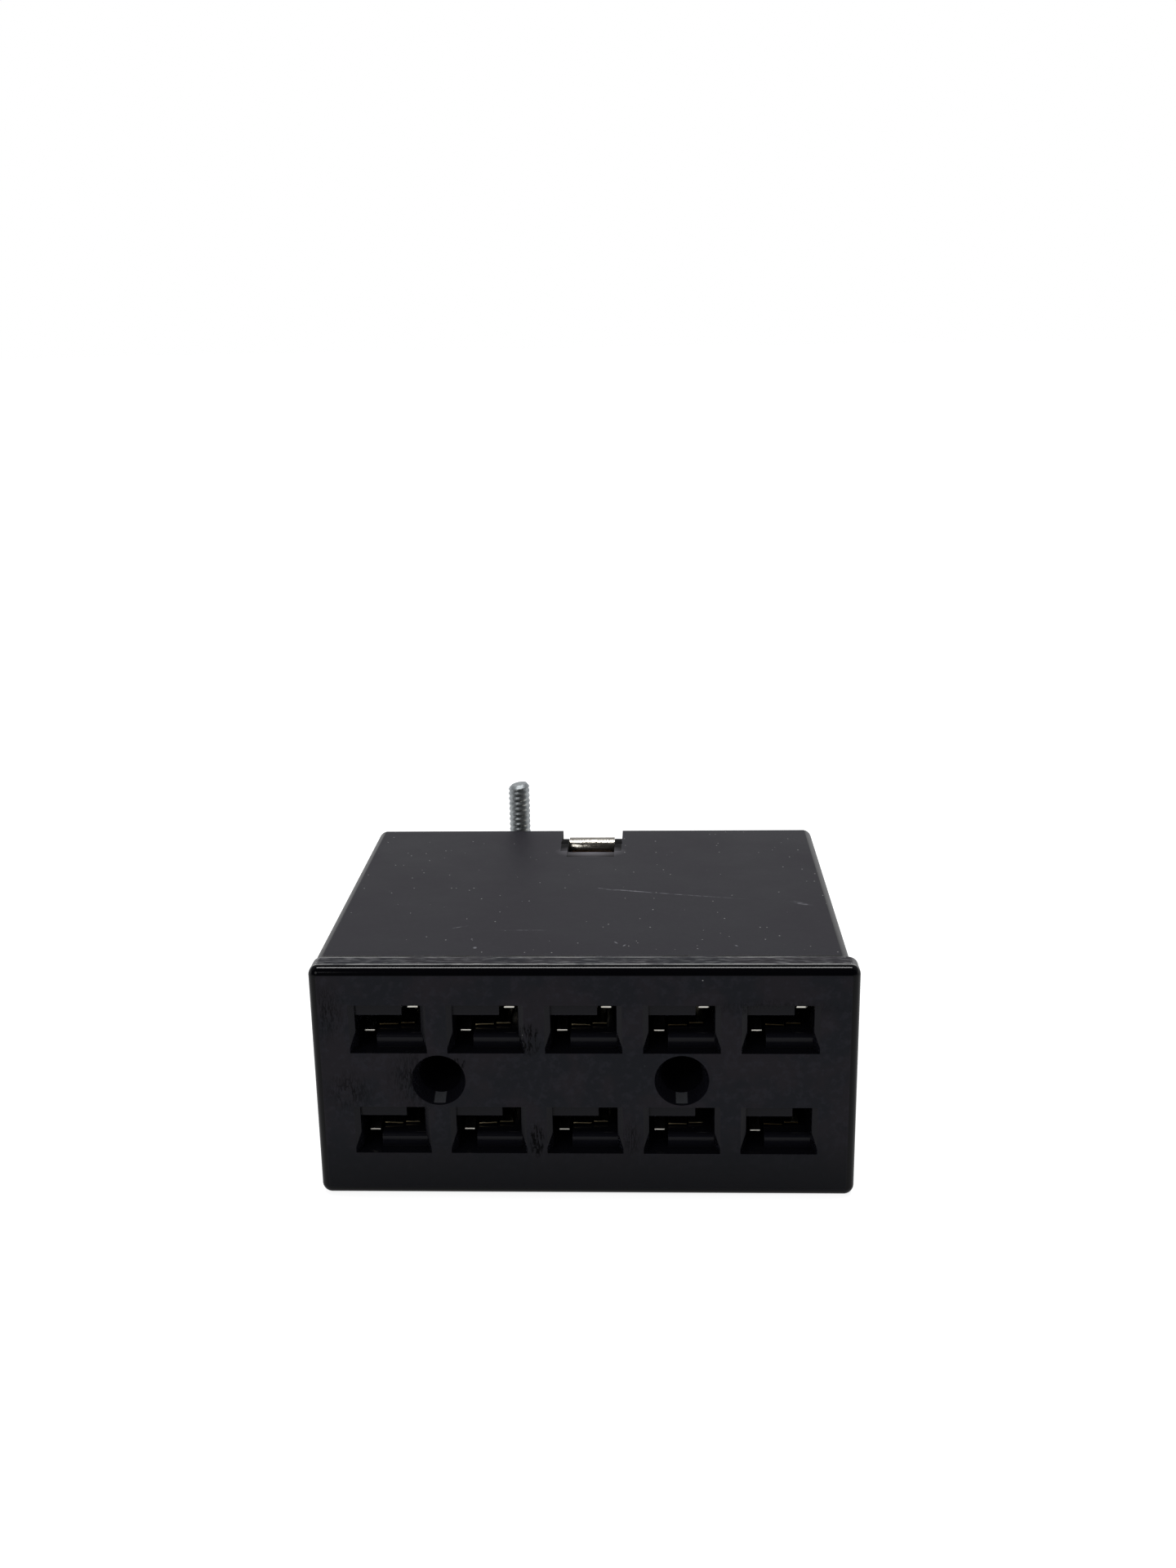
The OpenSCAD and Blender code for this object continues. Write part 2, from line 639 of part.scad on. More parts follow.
module clamp_screw() {
    color("#9aa1a8") from_notch() translate([-screw_x, jaw_mid_y, 0]) difference() {
        union() {
            translate([0, 0, head_top - head_h]) cylinder(d = head_d, h = head_h, $fn = fine);
            translate([0, 0, head_top - join])
                cylinder(d = screw_d, h = screw_l + join - screw_tip, $fn = fine);
            translate([0, 0, screw_top - screw_tip])
                cylinder(d1 = screw_d, d2 = screw_d - 2 * screw_tip, h = screw_tip, $fn = fine);
        }
        block([-head_d, -clamp_slot_w / 2, head_top - head_h - cut],
            [head_d, clamp_slot_w / 2, head_top - head_h / 2]);
    }
}

module clamp_washer() {
    color("#9aa1a8") from_notch() translate([-screw_x, jaw_mid_y, head_top]) difference() {
        cylinder(d = head_d + 2 * washer_rim, h = washer_t, $fn = fine);
        translate([0, 0, -cut])
            cylinder(r = screw_d / 2 + thread_gap, h = washer_t + 2 * cut, $fn = fine);
    }
}

module clamp_nut() {
    color("#9aa1a8") from_notch() translate([-screw_x, jaw_mid_y, jaw_z + sheet_t]) difference() {
        cylinder(d = nut_w / cos(30), h = nut_t, $fn = 6);
        translate([0, 0, -cut])
            cylinder(r = screw_d / 2 + thread_gap, h = nut_t + 2 * cut, $fn = fine);
    }
}

contact_block();
housing_shell();
contact(0);  // contact_1
contact(1);  // contact_2
contact(2);  // contact_3
contact(3);  // contact_4
contact(4);  // contact_5
contact(5);  // contact_6
contact(6);  // contact_7
contact(7);  // contact_8
contact(8);  // contact_9
contact(9);  // contact_10
rear_insulator();
insulator_screw(-1);  // insulator_screw_left
insulator_screw(1);  // insulator_screw_right
clamp_frame();
clamp_saddle();
clamp_screw();
clamp_washer();
clamp_nut();
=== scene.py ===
"""Looks for a ten-way plug-in relay socket: moulded block and shell, sprung contacts, cable clamp.

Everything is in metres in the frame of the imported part: X across the relay face, +Y back from
it, +Z up, with the base on z = 0. Sizes in the classes are in millimetres, as on a drawing,
apart from the studio's.
"""

import logging
import math
import random
from dataclasses import dataclass
from enum import Enum

import bmesh
import bpy
from mathutils import Matrix, Vector


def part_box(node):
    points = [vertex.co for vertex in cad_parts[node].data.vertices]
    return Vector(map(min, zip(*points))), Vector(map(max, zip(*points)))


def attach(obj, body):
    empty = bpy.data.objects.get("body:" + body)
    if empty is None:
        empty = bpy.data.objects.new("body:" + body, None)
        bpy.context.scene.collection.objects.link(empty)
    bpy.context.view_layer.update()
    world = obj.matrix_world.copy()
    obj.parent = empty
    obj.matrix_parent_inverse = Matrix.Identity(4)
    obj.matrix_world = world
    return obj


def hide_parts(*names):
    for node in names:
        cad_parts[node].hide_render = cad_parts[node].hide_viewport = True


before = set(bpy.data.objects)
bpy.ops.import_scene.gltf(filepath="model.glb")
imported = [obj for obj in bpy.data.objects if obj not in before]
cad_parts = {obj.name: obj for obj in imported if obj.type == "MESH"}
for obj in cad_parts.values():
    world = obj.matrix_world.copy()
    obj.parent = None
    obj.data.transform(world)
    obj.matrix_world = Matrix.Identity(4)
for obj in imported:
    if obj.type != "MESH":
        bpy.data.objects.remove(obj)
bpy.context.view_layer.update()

MM = 0.001
# past every part of the socket, in millimetres
FAR = 99.0
SEED = 5
# edges sharper than CREASE stay sharp where a piece is shaded smooth, those sharper than BROKEN
# are bevelled, and those blunter than MERGED only split a flat side
CREASE = math.radians(34)
BROKEN = math.radians(35)
MERGED = math.radians(1)
LOG = logging.getLogger("relay_socket")

Socket = bpy.types.NodeSocket
Shape = bmesh.types.BMesh


class Body(Enum):
    """The CAD bodies that pieces ride on."""

    SOCKET = "socket"
    SADDLE = "saddle"
    SCREW = "screw"


def linear(code: str) -> tuple[float, float, float, float]:
    """Turns an sRGB hex colour into linear values.

    Args:
        code: Six hex digits with a leading #.

    Returns:
        Linear red, green, blue and an alpha of 1.
    """
    parts = [int(code[i : i + 2], 16) / 255 for i in (1, 3, 5)]
    red, green, blue = (
        c / 12.92 if c <= 0.04045 else ((c + 0.055) / 1.055) ** 2.4 for c in parts
    )
    return (red, green, blue, 1.0)


def put(
    tree: bpy.types.NodeTree, kind: str, inputs: dict | None = None, **settings: object
) -> bpy.types.Node:
    """Adds one node to a tree.

    Args:
        tree: The node tree.
        kind: The node's type name.
        inputs: Input name or index to a value, or to a socket that it is linked from.
        settings: The node's own settings.

    Returns:
        The new node.
    """
    node = tree.nodes.new(kind)
    for name, value in settings.items():
        setattr(node, name, value)
    for key, value in (inputs or {}).items():
        if isinstance(value, bpy.types.NodeSocket):
            tree.links.new(value, node.inputs[key])
        else:
            node.inputs[key].default_value = value
    return node


def stand(name: str, data: bpy.types.ID) -> bpy.types.Object:
    """Puts a mesh, lamp or camera in the scene as a new object.

    Args:
        name: The object's name.
        data: What it shows.

    Returns:
        The object.
    """
    thing = bpy.data.objects.new(name, data)
    bpy.context.scene.collection.objects.link(thing)
    return thing


# ---- brushes


@dataclass(frozen=True)
class Mark:
    """A soft-edged place on a surface, such as a scratch, a rub, a smudge or a painted reflection.
    """

    centre: tuple[float, float, float]
    half: tuple[float, float, float]
    turn: float = 0.0
    strength: float = 1.0


# a mark fades from its middle to its rim, and this gain makes its inner third solid
MARK_GAIN = 1.6


class Paint:
    """One material's node tree and the brushes that draw on it in Object coordinates."""

    def __init__(self, name: str) -> None:
        """Starts a material.

        Args:
            name: Its name, which says the real material and process.
        """
        self.material = bpy.data.materials.new(name)
        self.material.use_nodes = True
        self.tree = self.material.node_tree
        self.tree.nodes.clear()
        self.where = put(self.tree, "ShaderNodeTexCoord").outputs["Object"]

    def split(self, vector: Socket) -> list[Socket]:
        """Splits a vector.

        Args:
            vector: The vector.

        Returns:
            Its X, Y and Z.
        """
        return list(put(self.tree, "ShaderNodeSeparateXYZ", {0: vector}).outputs)

    def sum(self, kind: str, first: Socket | float, second: Socket | float = 0.0) -> Socket:
        """Does one sum on two numbers.

        Args:
            kind: The sum, such as MULTIPLY.
            first: First number.
            second: Second number.

        Returns:
            The result, kept from 0 to 1 where it is a product.
        """
        clamp = kind == "MULTIPLY"
        inputs = {0: first, 1: second}
        return put(self.tree, "ShaderNodeMath", inputs, operation=kind, use_clamp=clamp).outputs[0]

    def aim(self, kind: str, first: Socket, second: Socket | tuple = (0.0, 0.0, 0.0)) -> Socket:
        """Does one sum on two vectors.

        Args:
            kind: The sum, such as SUBTRACT.
            first: First vector.
            second: Second vector.

        Returns:
            The result: a vector, or a number where the sum gives a length.
        """
        inputs: dict = {0: first}
        if kind not in ("ABSOLUTE", "SIGN", "NORMALIZE", "LENGTH"):
            inputs[1] = second
        node = put(self.tree, "ShaderNodeVectorMath", inputs, operation=kind)
        return node.outputs["Value" if kind == "LENGTH" else "Vector"]

    def ramp(self, value: Socket, low: float, high: float, start: float, end: float) -> Socket:
        """Maps a value smoothly from one range to another.

        Args:
            value: What is mapped.
            low: Start of its range.
            high: End of its range.
            start: Result at the range's start.
            end: Result at the range's end.

        Returns:
            The mapped value.
        """
        inputs = {"Value": value, "From Min": low, "From Max": high}
        inputs |= {"To Min": start, "To Max": end}
        node = put(self.tree, "ShaderNodeMapRange", inputs, interpolation_type="SMOOTHSTEP")
        return node.outputs["Result"]

    def band(self, axis: int, low: float, high: float, soft: float = 0.02) -> Socket:
        """Masks what lies between two planes.

        Args:
            axis: 0, 1 or 2 for X, Y or Z.
            low: Lower plane in millimetres.
            high: Upper plane in millimetres.
            soft: Width of the mask's edges in millimetres.

        Returns:
            A mask that is 1 between the planes.
        """
        place = self.split(self.where)[axis]
        up = self.ramp(place, (low - soft) * MM, (low + soft) * MM, 0.0, 1.0)
        down = self.ramp(place, (high - soft) * MM, (high + soft) * MM, 1.0, 0.0)
        return self.sum("MULTIPLY", up, down)

    def grain(
        self, size: float, detail: float = 3.0, stretch: tuple[float, float, float] = (1, 1, 1)
    ) -> Socket:
        """Draws noise whose blotches have a real size.

        Args:
            size: Size of a blotch in millimetres.
            detail: Octaves of finer noise.
            stretch: How many times longer a blotch is along each axis.

        Returns:
            The noise, from 0 to 1.
        """
        scale = Vector([1 / (size * MM * s) for s in stretch])
        moved = put(self.tree, "ShaderNodeMapping", {"Vector": self.where, "Scale": scale})
        inputs = {"Vector": moved.outputs[0], "Scale": 1.0, "Detail": detail, "Roughness": 0.6}
        return put(self.tree, "ShaderNodeTexNoise", inputs).outputs["Fac"]

    def specks(self, pitch: float, size: float, share: float) -> Socket:
        """Draws dust: small specks in some of the cells of a Voronoi pattern.

        Args:
            pitch: Distance between cells in millimetres.
            size: Radius of a speck as a share of the distance.
            share: Share of the cells that hold a speck.

        Returns:
            A mask that is 1 on a speck.
        """
        inputs = {"Vector": self.where, "Scale": 1 / (pitch * MM)}
        cells = put(self.tree, "ShaderNodeTexVoronoi", inputs)
        near = self.ramp(cells.outputs["Distance"], size * 0.5, size, 1.0, 0.0)
        chosen = self.sum("LESS_THAN", cells.outputs["Color"], share)
        return self.sum("MULTIPLY", near, chosen)

    def marks(self, marks: tuple[Mark, ...]) -> Socket:
        """Draws marks, each as a ball that is stretched to its half sizes.

        Args:
            marks: The marks.

        Returns:
            A mask that is 1 in the middle of each mark.
        """
        result: Socket | float = 0.0
        for mark in marks:
            inputs = {
                "Vector": self.where,
                "Location": Vector(mark.centre) * MM,
                "Rotation": (0.0, 0.0, math.radians(mark.turn)),
                "Scale": Vector(mark.half) * MM,
            }
            moved = put(self.tree, "ShaderNodeMapping", inputs, vector_type="TEXTURE")
            inputs = {"Vector": moved.outputs[0]}
            ball = put(self.tree, "ShaderNodeTexGradient", inputs, gradient_type="SPHERICAL")
            one = self.sum("MULTIPLY", ball.outputs["Fac"], MARK_GAIN * mark.strength)
            result = self.sum("MAXIMUM", result, one)
        return result

    def blend(
        self, mask: Socket, under: Socket | tuple | float, over: Socket | tuple | float
    ) -> Socket:
        """Lays one value or colour over another.

        Args:
            mask: Where the upper one shows.
            under: Lower value, or a colour.
            over: Upper value, or a colour.

        Returns:
            The mixed value or colour.
        """
        is_number = isinstance(under, float) or isinstance(over, float)
        first, result, kind = (2, 0, "FLOAT") if is_number else (6, 2, "RGBA")
        inputs = {0: mask, first: under, first + 1: over}
        return put(self.tree, "ShaderNodeMix", inputs, data_type=kind).outputs[result]

    def tint(self, mask: Socket, under: Socket | str, over: str) -> Socket:
        """Lays one hex colour over a colour.

        Args:
            mask: Where the upper one shows.
            under: Lower colour, as a socket or a hex colour.
            over: Upper hex colour.

        Returns:
            The mixed colour.
        """
        low = linear(under) if isinstance(under, str) else under
        return self.blend(mask, low, linear(over))

    def worn_edges(self, radius: float) -> Socket:
        """Makes a normal that rounds the sharp edges.

        Args:
            radius: Radius that the edges look worn to, in millimetres.

        Returns:
            The normal.
        """
        return put(self.tree, "ShaderNodeBevel", {"Radius": radius * MM}, samples=8).outputs[0]

    def shade(self, reach: float) -> Socket:
        """Finds corners by ambient occlusion, where little light comes, for painting shade into
        them.

        Args:
            reach: How far a corner's painted shade reaches, in millimetres.

        Returns:
            1 on open faces, less in corners.
        """
        inputs = {"Distance": reach * MM}
        node = put(self.tree, "ShaderNodeAmbientOcclusion", inputs, samples=8, only_local=True)
        return node.outputs["AO"]

    def done(
        self,
        colour: Socket,
        roughness: Socket | float,
        height: Socket,
        depth: float,
        normal: Socket,
        metallic: float = 0.0,
        level: float = 0.5,
    ) -> bpy.types.Material:
        """Adds the shader and the output.

        Args:
            colour: Base colour.
            roughness: Roughness.
            height: Surface height from 0 to 1.
            depth: How much a height of 1 stands up, in millimetres.
            normal: The normal under that height.
            metallic: 1 for metal.
            level: Specular level.

        Returns:
            The finished material.
        """
        bump = {"Height": height, "Distance": depth * MM, "Strength": 1.0, "Normal": normal}
        inputs = {
            "Base Color": colour,
            "Roughness": roughness,
            "Normal": put(self.tree, "ShaderNodeBump", bump).outputs[0],
            "Metallic": metallic,
            "Specular IOR Level": level,
        }
        shader = put(self.tree, "ShaderNodeBsdfPrincipled", inputs)
        put(self.tree, "ShaderNodeOutputMaterial", {"Surface": shader.outputs[0]})
        return self.material


@dataclass(frozen=True)
class RoundedSkin:
    """The outer skin of a moulding: a box with rounded edges, in millimetres.

    A point is on the skin past the share `reach` of the edges' radius. `square` says how square to
    an axis the normal is where a flat face ends and a rounded edge starts.
    """

    centre: tuple[float, float, float]
    half: tuple[float, float, float]
    radius: float
    gap_x: tuple[float, float]
    gap_y: float
    gap_z: float = 9.0
    reach: float = 0.985
    square: tuple[float, float] = (0.975, 0.998)

    def normal(self, paint: Paint, inner: Socket) -> tuple[Socket, Socket, Socket]:
        """Works out the skin's true normal, which the faceted rounding only steps along.

        Args:
            paint: The material that is drawn.
            inner: The normal of all that isn't the skin.

        Returns:
            The normal, and masks of the skin's flat faces and of its rounded edges.
        """
        centre = tuple(c * MM for c in self.centre)
        core = tuple((h - self.radius) * MM for h in self.half)
        place = paint.aim("SUBTRACT", paint.where, centre)
        past = paint.aim("SUBTRACT", paint.aim("ABSOLUTE", place), core)
        out = paint.aim("MULTIPLY", paint.aim("MAXIMUM", past), paint.aim("SIGN", place))
        limit = self.reach * self.radius * MM
        on_skin = paint.sum("GREATER_THAN", paint.aim("LENGTH", out), limit)
        # the gaps in the skin, above and below, are the notches behind gap_y
        tall = paint.sum("ABSOLUTE", paint.split(place)[2])
        gap = paint.sum("GREATER_THAN", tall, self.gap_z * MM)
        gap = paint.sum("MULTIPLY", gap, paint.band(0, *self.gap_x))
        gap = paint.sum("MULTIPLY", gap, paint.band(1, self.gap_y, FAR))
        on_skin = paint.sum("MULTIPLY", on_skin, paint.sum("SUBTRACT", 1.0, gap))
        unit = paint.aim("NORMALIZE", out)
        normal = put(
            paint.tree, "ShaderNodeMix", {0: on_skin, 4: inner, 5: unit}, data_type="VECTOR"
        ).outputs[1]
        x, y, z = paint.split(paint.aim("ABSOLUTE", unit))
        square = paint.sum("MAXIMUM", x, paint.sum("MAXIMUM", y, z))
        square = paint.ramp(square, *self.square, 0.0, 1.0)
        flat = paint.sum("MULTIPLY", on_skin, square)
        return normal, flat, paint.sum("SUBTRACT", on_skin, flat)


# ---- finishes


@dataclass(frozen=True)
class BlackPhenolic:
    """Compression-moulded black phenolic: polished by the die, dulled where it is handled."""

    skin: RoundedSkin
    chafes: tuple[Mark, ...]
    foot_shade_z: tuple[float, float] = (1.5, 10.0)
    top_z: tuple[float, float] = (26.05, 30.0)
    ledge_y: tuple[float, float] = (-22.4, -20.0)
    ridge_y: tuple[float, float] = (-22.4, -22.26)
    seam_y: tuple[float, float] = (-20.6, -20.3)
    pad_x: tuple[float, float] = (-15.24, 10.16)
    pad_y: tuple[float, float] = (-23.15, -21.7)
    pad_z: tuple[float, float] = (10.4, 11.5)
    pad_half: float = 0.6

    def build(self) -> bpy.types.Material:
        """Makes the material.

        Returns:
            The material.
        """
        paint = Paint("compression_moulded_black_phenolic")
        normal, flat, rounded = self.skin.normal(paint, paint.worn_edges(0.06))
        # the resin's flow lines give large, faint blue and brown blotches in the dulled skin
        flow = paint.grain(6.0, 5.0)
        dull = paint.tint(paint.ramp(flow, 0.42, 0.58, 0.0, 1.0), "#11131a", "#1a171d")
        fine = paint.ramp(paint.grain(0.7, 4.0), 0.48, 0.66, 0.0, 0.45)
        dull = paint.tint(fine, dull, "#23222a")
        # painted shade: the face is painted darker towards its foot
        low, high = self.foot_shade_z
        foot = paint.ramp(paint.split(paint.where)[2], low * MM, high * MM, 0.9, 0.0)
        dull = paint.tint(foot, dull, "#06070d")
        chafe, crack = self.chafed(paint)
        dull = paint.tint(chafe, dull, "#131318")
        dull = paint.tint(crack, dull, "#020203")
        # painted shade: the rounded edges are painted near-black, standing in for the dark room
        # that their gloss reflects
        inner_and_painted_dark_edges = paint.tint(rounded, "#111116", "#040406")
        tone = paint.blend(flat, inner_and_painted_dark_edges, dull)
        # painted shade, not grime: corners found by ambient occlusion are painted near-black and
        # made fully rough
        grime = paint.ramp(paint.shade(0.5), 0.3, 0.62, 1.0, 0.0)
        tone = paint.tint(grime, tone, "#010102")
        tone, pale = self.scuffs_and_highlights(paint, tone)
        # painted light: the flat pads at the foot of the guide holes face up and are painted pale,
        # as lit from above
        pad_painted_light = paint.sum("MULTIPLY", self.padded(paint), paint.sum("SUBTRACT", 1.0, flat))
        tone = paint.tint(pad_painted_light, tone, "#46474a")
        tone = paint.tint(paint.specks(2.6, 0.03, 0.2), tone, "#8d8d8c")
        rough = paint.blend(flat, 0.16, 0.5)
        rough = paint.blend(rounded, rough, 0.09)
        rough = paint.blend(paint.sum("MAXIMUM", pale, pad_painted_light), rough, 0.4)
        rough = paint.blend(paint.sum("MAXIMUM", grime, crack), rough, 1.0)
        return paint.done(tone, rough, paint.grain(0.25, 2.0), 0.002, normal, level=0.14)

    def padded(self, paint: Paint) -> Socket:
        """Finds the flat pads at the foot of the guide holes' mouths.

        Args:
            paint: The material that is drawn.

        Returns:
            Their mask.
        """
        across = [paint.band(0, x - self.pad_half, x + self.pad_half, 0.06) for x in self.pad_x]
        inside = paint.sum("MULTIPLY", paint.band(1, *self.pad_y), paint.band(2, *self.pad_z))
        return paint.sum("MULTIPLY", paint.sum("MAXIMUM", *across), inside)

    def chafed(self, paint: Paint) -> tuple[Socket, Socket]:
        """Draws the places where hard things chafed the face.

        Args:
            paint: The material that is drawn.

        Returns:
            Masks of the chafed places and of the thin black cracks in them.
        """
        place = paint.marks(self.chafes)
        lines = paint.grain(0.8, 3.0, (0.45, 1.0, 2.2))
        near = paint.sum("ABSOLUTE", paint.sum("SUBTRACT", lines, 0.5))
        crack = paint.sum("MULTIPLY", paint.ramp(near, 0.02, 0.06, 1.0, 0.0), place)
        return paint.sum("MULTIPLY", place, 0.35), crack

    def scuffs_and_highlights(self, paint: Paint, tone: Socket) -> tuple[Socket, Socket]:
        """Draws the scuffs on the flat top of the lip, and its pale ridges: partly wear, partly
        painted highlights.

        Args:
            paint: The material that is drawn.
            tone: The colour below them.

        Returns:
            The colour with them, and a mask of the ridges.
        """
        top = paint.band(2, *self.top_z)
        on_top = paint.sum("MULTIPLY", top, paint.band(1, *self.ledge_y))
        scuffs = paint.ramp(paint.grain(0.16, 4.0, (9.0, 1.2, 1.0)), 0.47, 0.66, 0.0, 0.8)
        tone = paint.tint(paint.sum("MULTIPLY", scuffs, on_top), tone, "#5a5a5c")
        # painted highlight: the ridge at the front of the lip's top and the line at its seam are
        # painted pale, partly as wear and partly as the highlights that catch there
        breaks = paint.ramp(paint.grain(0.5, 3.0, (5.0, 1.0, 1.0)), 0.36, 0.5, 0.3, 1.0)
        ridge = paint.sum("MULTIPLY", paint.band(1, *self.ridge_y, 0.03), breaks)
        patchy = paint.ramp(paint.grain(1.4, 3.0, (3.0, 1.0, 1.0)), 0.42, 0.6, 0.05, 0.35)
        seam_painted_light = paint.sum("MULTIPLY", paint.band(1, *self.seam_y, 0.04), patchy)
        pale = paint.sum("MULTIPLY", top, paint.sum("MAXIMUM", ridge, seam_painted_light))
        return paint.tint(pale, tone, "#b2b2b0"), pale


@dataclass(frozen=True)
class SatinPhenolic:
    """Satin black moulding, handled and dusty, with a few pale scratches on top."""

    skin: RoundedSkin
    scratches: tuple[Mark, ...]
    strap_reflection: Mark = Mark((-0.45, 14.2, 25.9), (4.6, 2.4, 1.4), strength=0.6)
    seam_y: tuple[float, float] = (-20.6, -19.5)

    def build(self) -> bpy.types.Material:
        """Makes the material.

        Returns:
            The material.
        """
        paint = Paint("satin_moulded_black_phenolic")
        normal, flat, rounded = self.skin.normal(paint, paint.worn_edges(0.08))
        cloud = paint.grain(14.0, 5.0)
        fine = paint.grain(0.4, 3.0)
        tone = paint.tint(paint.ramp(cloud, 0.4, 0.62, 0.0, 1.0), "#17161d", "#1b1920")
        tone = paint.tint(paint.ramp(fine, 0.55, 0.75, 0.0, 0.3), tone, "#2e2c34")
        # a scratch shows only where the tool bit, so it comes and goes along its length
        bite = paint.ramp(paint.grain(0.9, 3.0), 0.42, 0.58, 0.15, 1.0)
        scratch = paint.sum("MULTIPLY", paint.marks(self.scratches), bite)
        tone = paint.tint(scratch, tone, "#66666b")
        dust = paint.sum("MAXIMUM", paint.specks(2.3, 0.035, 0.3), paint.specks(0.9, 0.11, 0.36))
        tone = paint.tint(dust, tone, "#8d8d8c")
        # painted shade: the shell's hollows, such as the notch and its ears, are painted
        # near-black, and its rounded edges nearly so as a painted dark reflection
        edges = paint.tint(rounded, "#020203", "#09090b")
        tone = paint.blend(flat, edges, tone)
        # painted reflection: the rise in front of the notch is painted pale where the strap's fold
        # is reflected in it
        tone = paint.tint(paint.marks((self.strap_reflection,)), tone, "#67656a")
        # painted shadow: the shell just behind the lip's seam is painted with a broken black line,
        # where the lip shades it
        breaks = paint.ramp(paint.grain(1.3, 3.0, (3.0, 1.0, 1.0)), 0.42, 0.52, 0.0, 1.0)
        seam_painted_light = paint.sum("MULTIPLY", paint.band(1, *self.seam_y, 0.08), breaks)
        tone = paint.tint(seam_painted_light, tone, "#020203")
        rough = paint.blend(flat, 0.85, paint.ramp(cloud, 0.3, 0.7, 0.46, 0.54))
        rough = paint.blend(rounded, rough, 0.3)
        rough = paint.blend(seam_painted_light, rough, 0.15)
        return paint.done(tone, rough, paint.grain(0.18, 2.0), 0.003, normal, level=0.22)


@dataclass(frozen=True)
class SheetMetal:
    """Plated sheet metal with fine rolling lines, shallow dents and grime."""

    name: str
    colour: str
    grime: str
    rough: float
    dent: float = 0.01

    def build(self) -> bpy.types.Material:
        """Makes the material.

        Returns:
            The material.
        """
        paint = Paint(self.name)
        # rolling lines are about 0.02 mm apart, drawn three times as coarse so that they show
        lines = paint.grain(0.06, 2.0, (40.0, 1.0, 1.0))
        dents = paint.grain(0.7, 2.0)
        dull = paint.ramp(paint.grain(1.3, 4.0), 0.5, 0.72, 0.0, 0.5)
        tone = paint.tint(dull, self.colour, self.grime)
        height = paint.blend(paint.ramp(lines, 0.3, 0.7, 0.0, 0.12), dents, 0.0)
        rough = paint.ramp(lines, 0.3, 0.7, self.rough, self.rough + 0.1)
        return paint.done(tone, rough, height, self.dent, paint.worn_edges(0.05), metallic=1.0)


@dataclass(frozen=True)
class ZincSteel:
    """Zinc-plated turned steel: pale blue-grey, slightly mottled."""

    colour: str = "#b4b9bb"
    mottle: str = "#8a9092"

    def build(self) -> bpy.types.Material:
        """Makes the material.

        Returns:
            The material.
        """
        paint = Paint("zinc_plated_turned_steel")
        mottle = paint.grain(0.5, 4.0)
        tone = paint.tint(paint.ramp(mottle, 0.42, 0.7, 0.0, 0.5), self.colour, self.mottle)
        rough = paint.ramp(mottle, 0.3, 0.7, 0.4, 0.46)
        return paint.done(
            tone, rough, paint.grain(0.12), 0.002, paint.worn_edges(0.04), metallic=1.0
        )


@dataclass(frozen=True)
class PaperPhenolic:
    """Sawn paper phenolic board: brown, smooth, with faint fibres."""

    colour: str = "#6b4427"
    fibre: str = "#4a2d18"

    def build(self) -> bpy.types.Material:
        """Makes the material.

        Returns:
            The material.
        """
        paint = Paint("sawn_paper_phenolic_board")
        fibre = paint.grain(0.35, 4.0, (5.0, 1.0, 1.0))
        tone = paint.tint(paint.ramp(fibre, 0.35, 0.7, 0.0, 0.7), self.colour, self.fibre)
        rough = paint.ramp(paint.grain(6.0), 0.3, 0.7, 0.42, 0.57)
        return paint.done(tone, rough, fibre, 0.01, paint.worn_edges(0.08))


# ---- shapes


def new_piece(
    name: str,
    data: bpy.types.Mesh,
    finishes: list[bpy.types.Material],
    body: Body,
    replaces: str,
) -> None:
    """Puts a mesh in the scene as a finished piece that rides on its body.

    Args:
        name: The piece's name.
        data: Its mesh, in metres, in the frame of the part.
        finishes: Its materials, in the order of the faces' material indices.
        body: The CAD body that it moves with.
        replaces: The CAD node that the piece stands for.
    """
    for finish in finishes:
        data.materials.append(finish)
    data.name = name
    piece = stand(name, data)
    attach(piece, body.value)
    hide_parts(replaces)
    LOG.info("%s: %d faces, rides on %s", name, len(data.polygons), body.value)


def smooth_mesh(shape: Shape) -> bpy.types.Mesh:
    """Turns a shape into a mesh that is shaded smooth up to its sharp edges.

    Args:
        shape: The shape, which is freed.

    Returns:
        The mesh.
    """
    bmesh.ops.recalc_face_normals(shape, faces=shape.faces)
    data = bpy.data.meshes.new("piece")
    shape.to_mesh(data)
    shape.free()
    data.shade_smooth()
    data.set_sharp_from_angle(angle=CREASE)
    return data


def dress(node: str, finish: bpy.types.Material) -> None:
    """Gives a CAD node its finish.

    Args:
        node: The node's name.
        finish: The material.
    """
    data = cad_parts[node].data
    data.materials.clear()
    data.materials.append(finish)
    LOG.info("%s dressed in %s", node, finish.name)


def whole_copy(node: str) -> Shape:
    """Copies a CAD node with its triangles merged into closed, flat-sided faces.

    Args:
        node: The node's name.

    Returns:
        The copy, in metres.
    """
    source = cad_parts[node]
    shape = bmesh.new()
    shape.from_mesh(source.data)
    shape.transform(source.matrix_world)
    bmesh.ops.remove_doubles(shape, verts=shape.verts, dist=1e-6)
    bmesh.ops.dissolve_limit(shape, angle_limit=MERGED, verts=shape.verts, edges=shape.edges)
    return shape


def break_edges(shape: Shape, width: float, steps: int = 2) -> None:
    """Bevels a shape's sharp edges.

    Args:
        shape: The shape.
        width: Width of the bevel in millimetres.
        steps: Segments across the bevel.
    """
    sharp = [e for e in shape.edges if e.is_manifold and e.calc_face_angle(0) > BROKEN]
    bmesh.ops.bevel(
        shape,
        geom=sharp,
        offset=width * MM,
        segments=steps,
        profile=0.5,
        affect="EDGES",
        clamp_overlap=True,
        material=-1,
    )


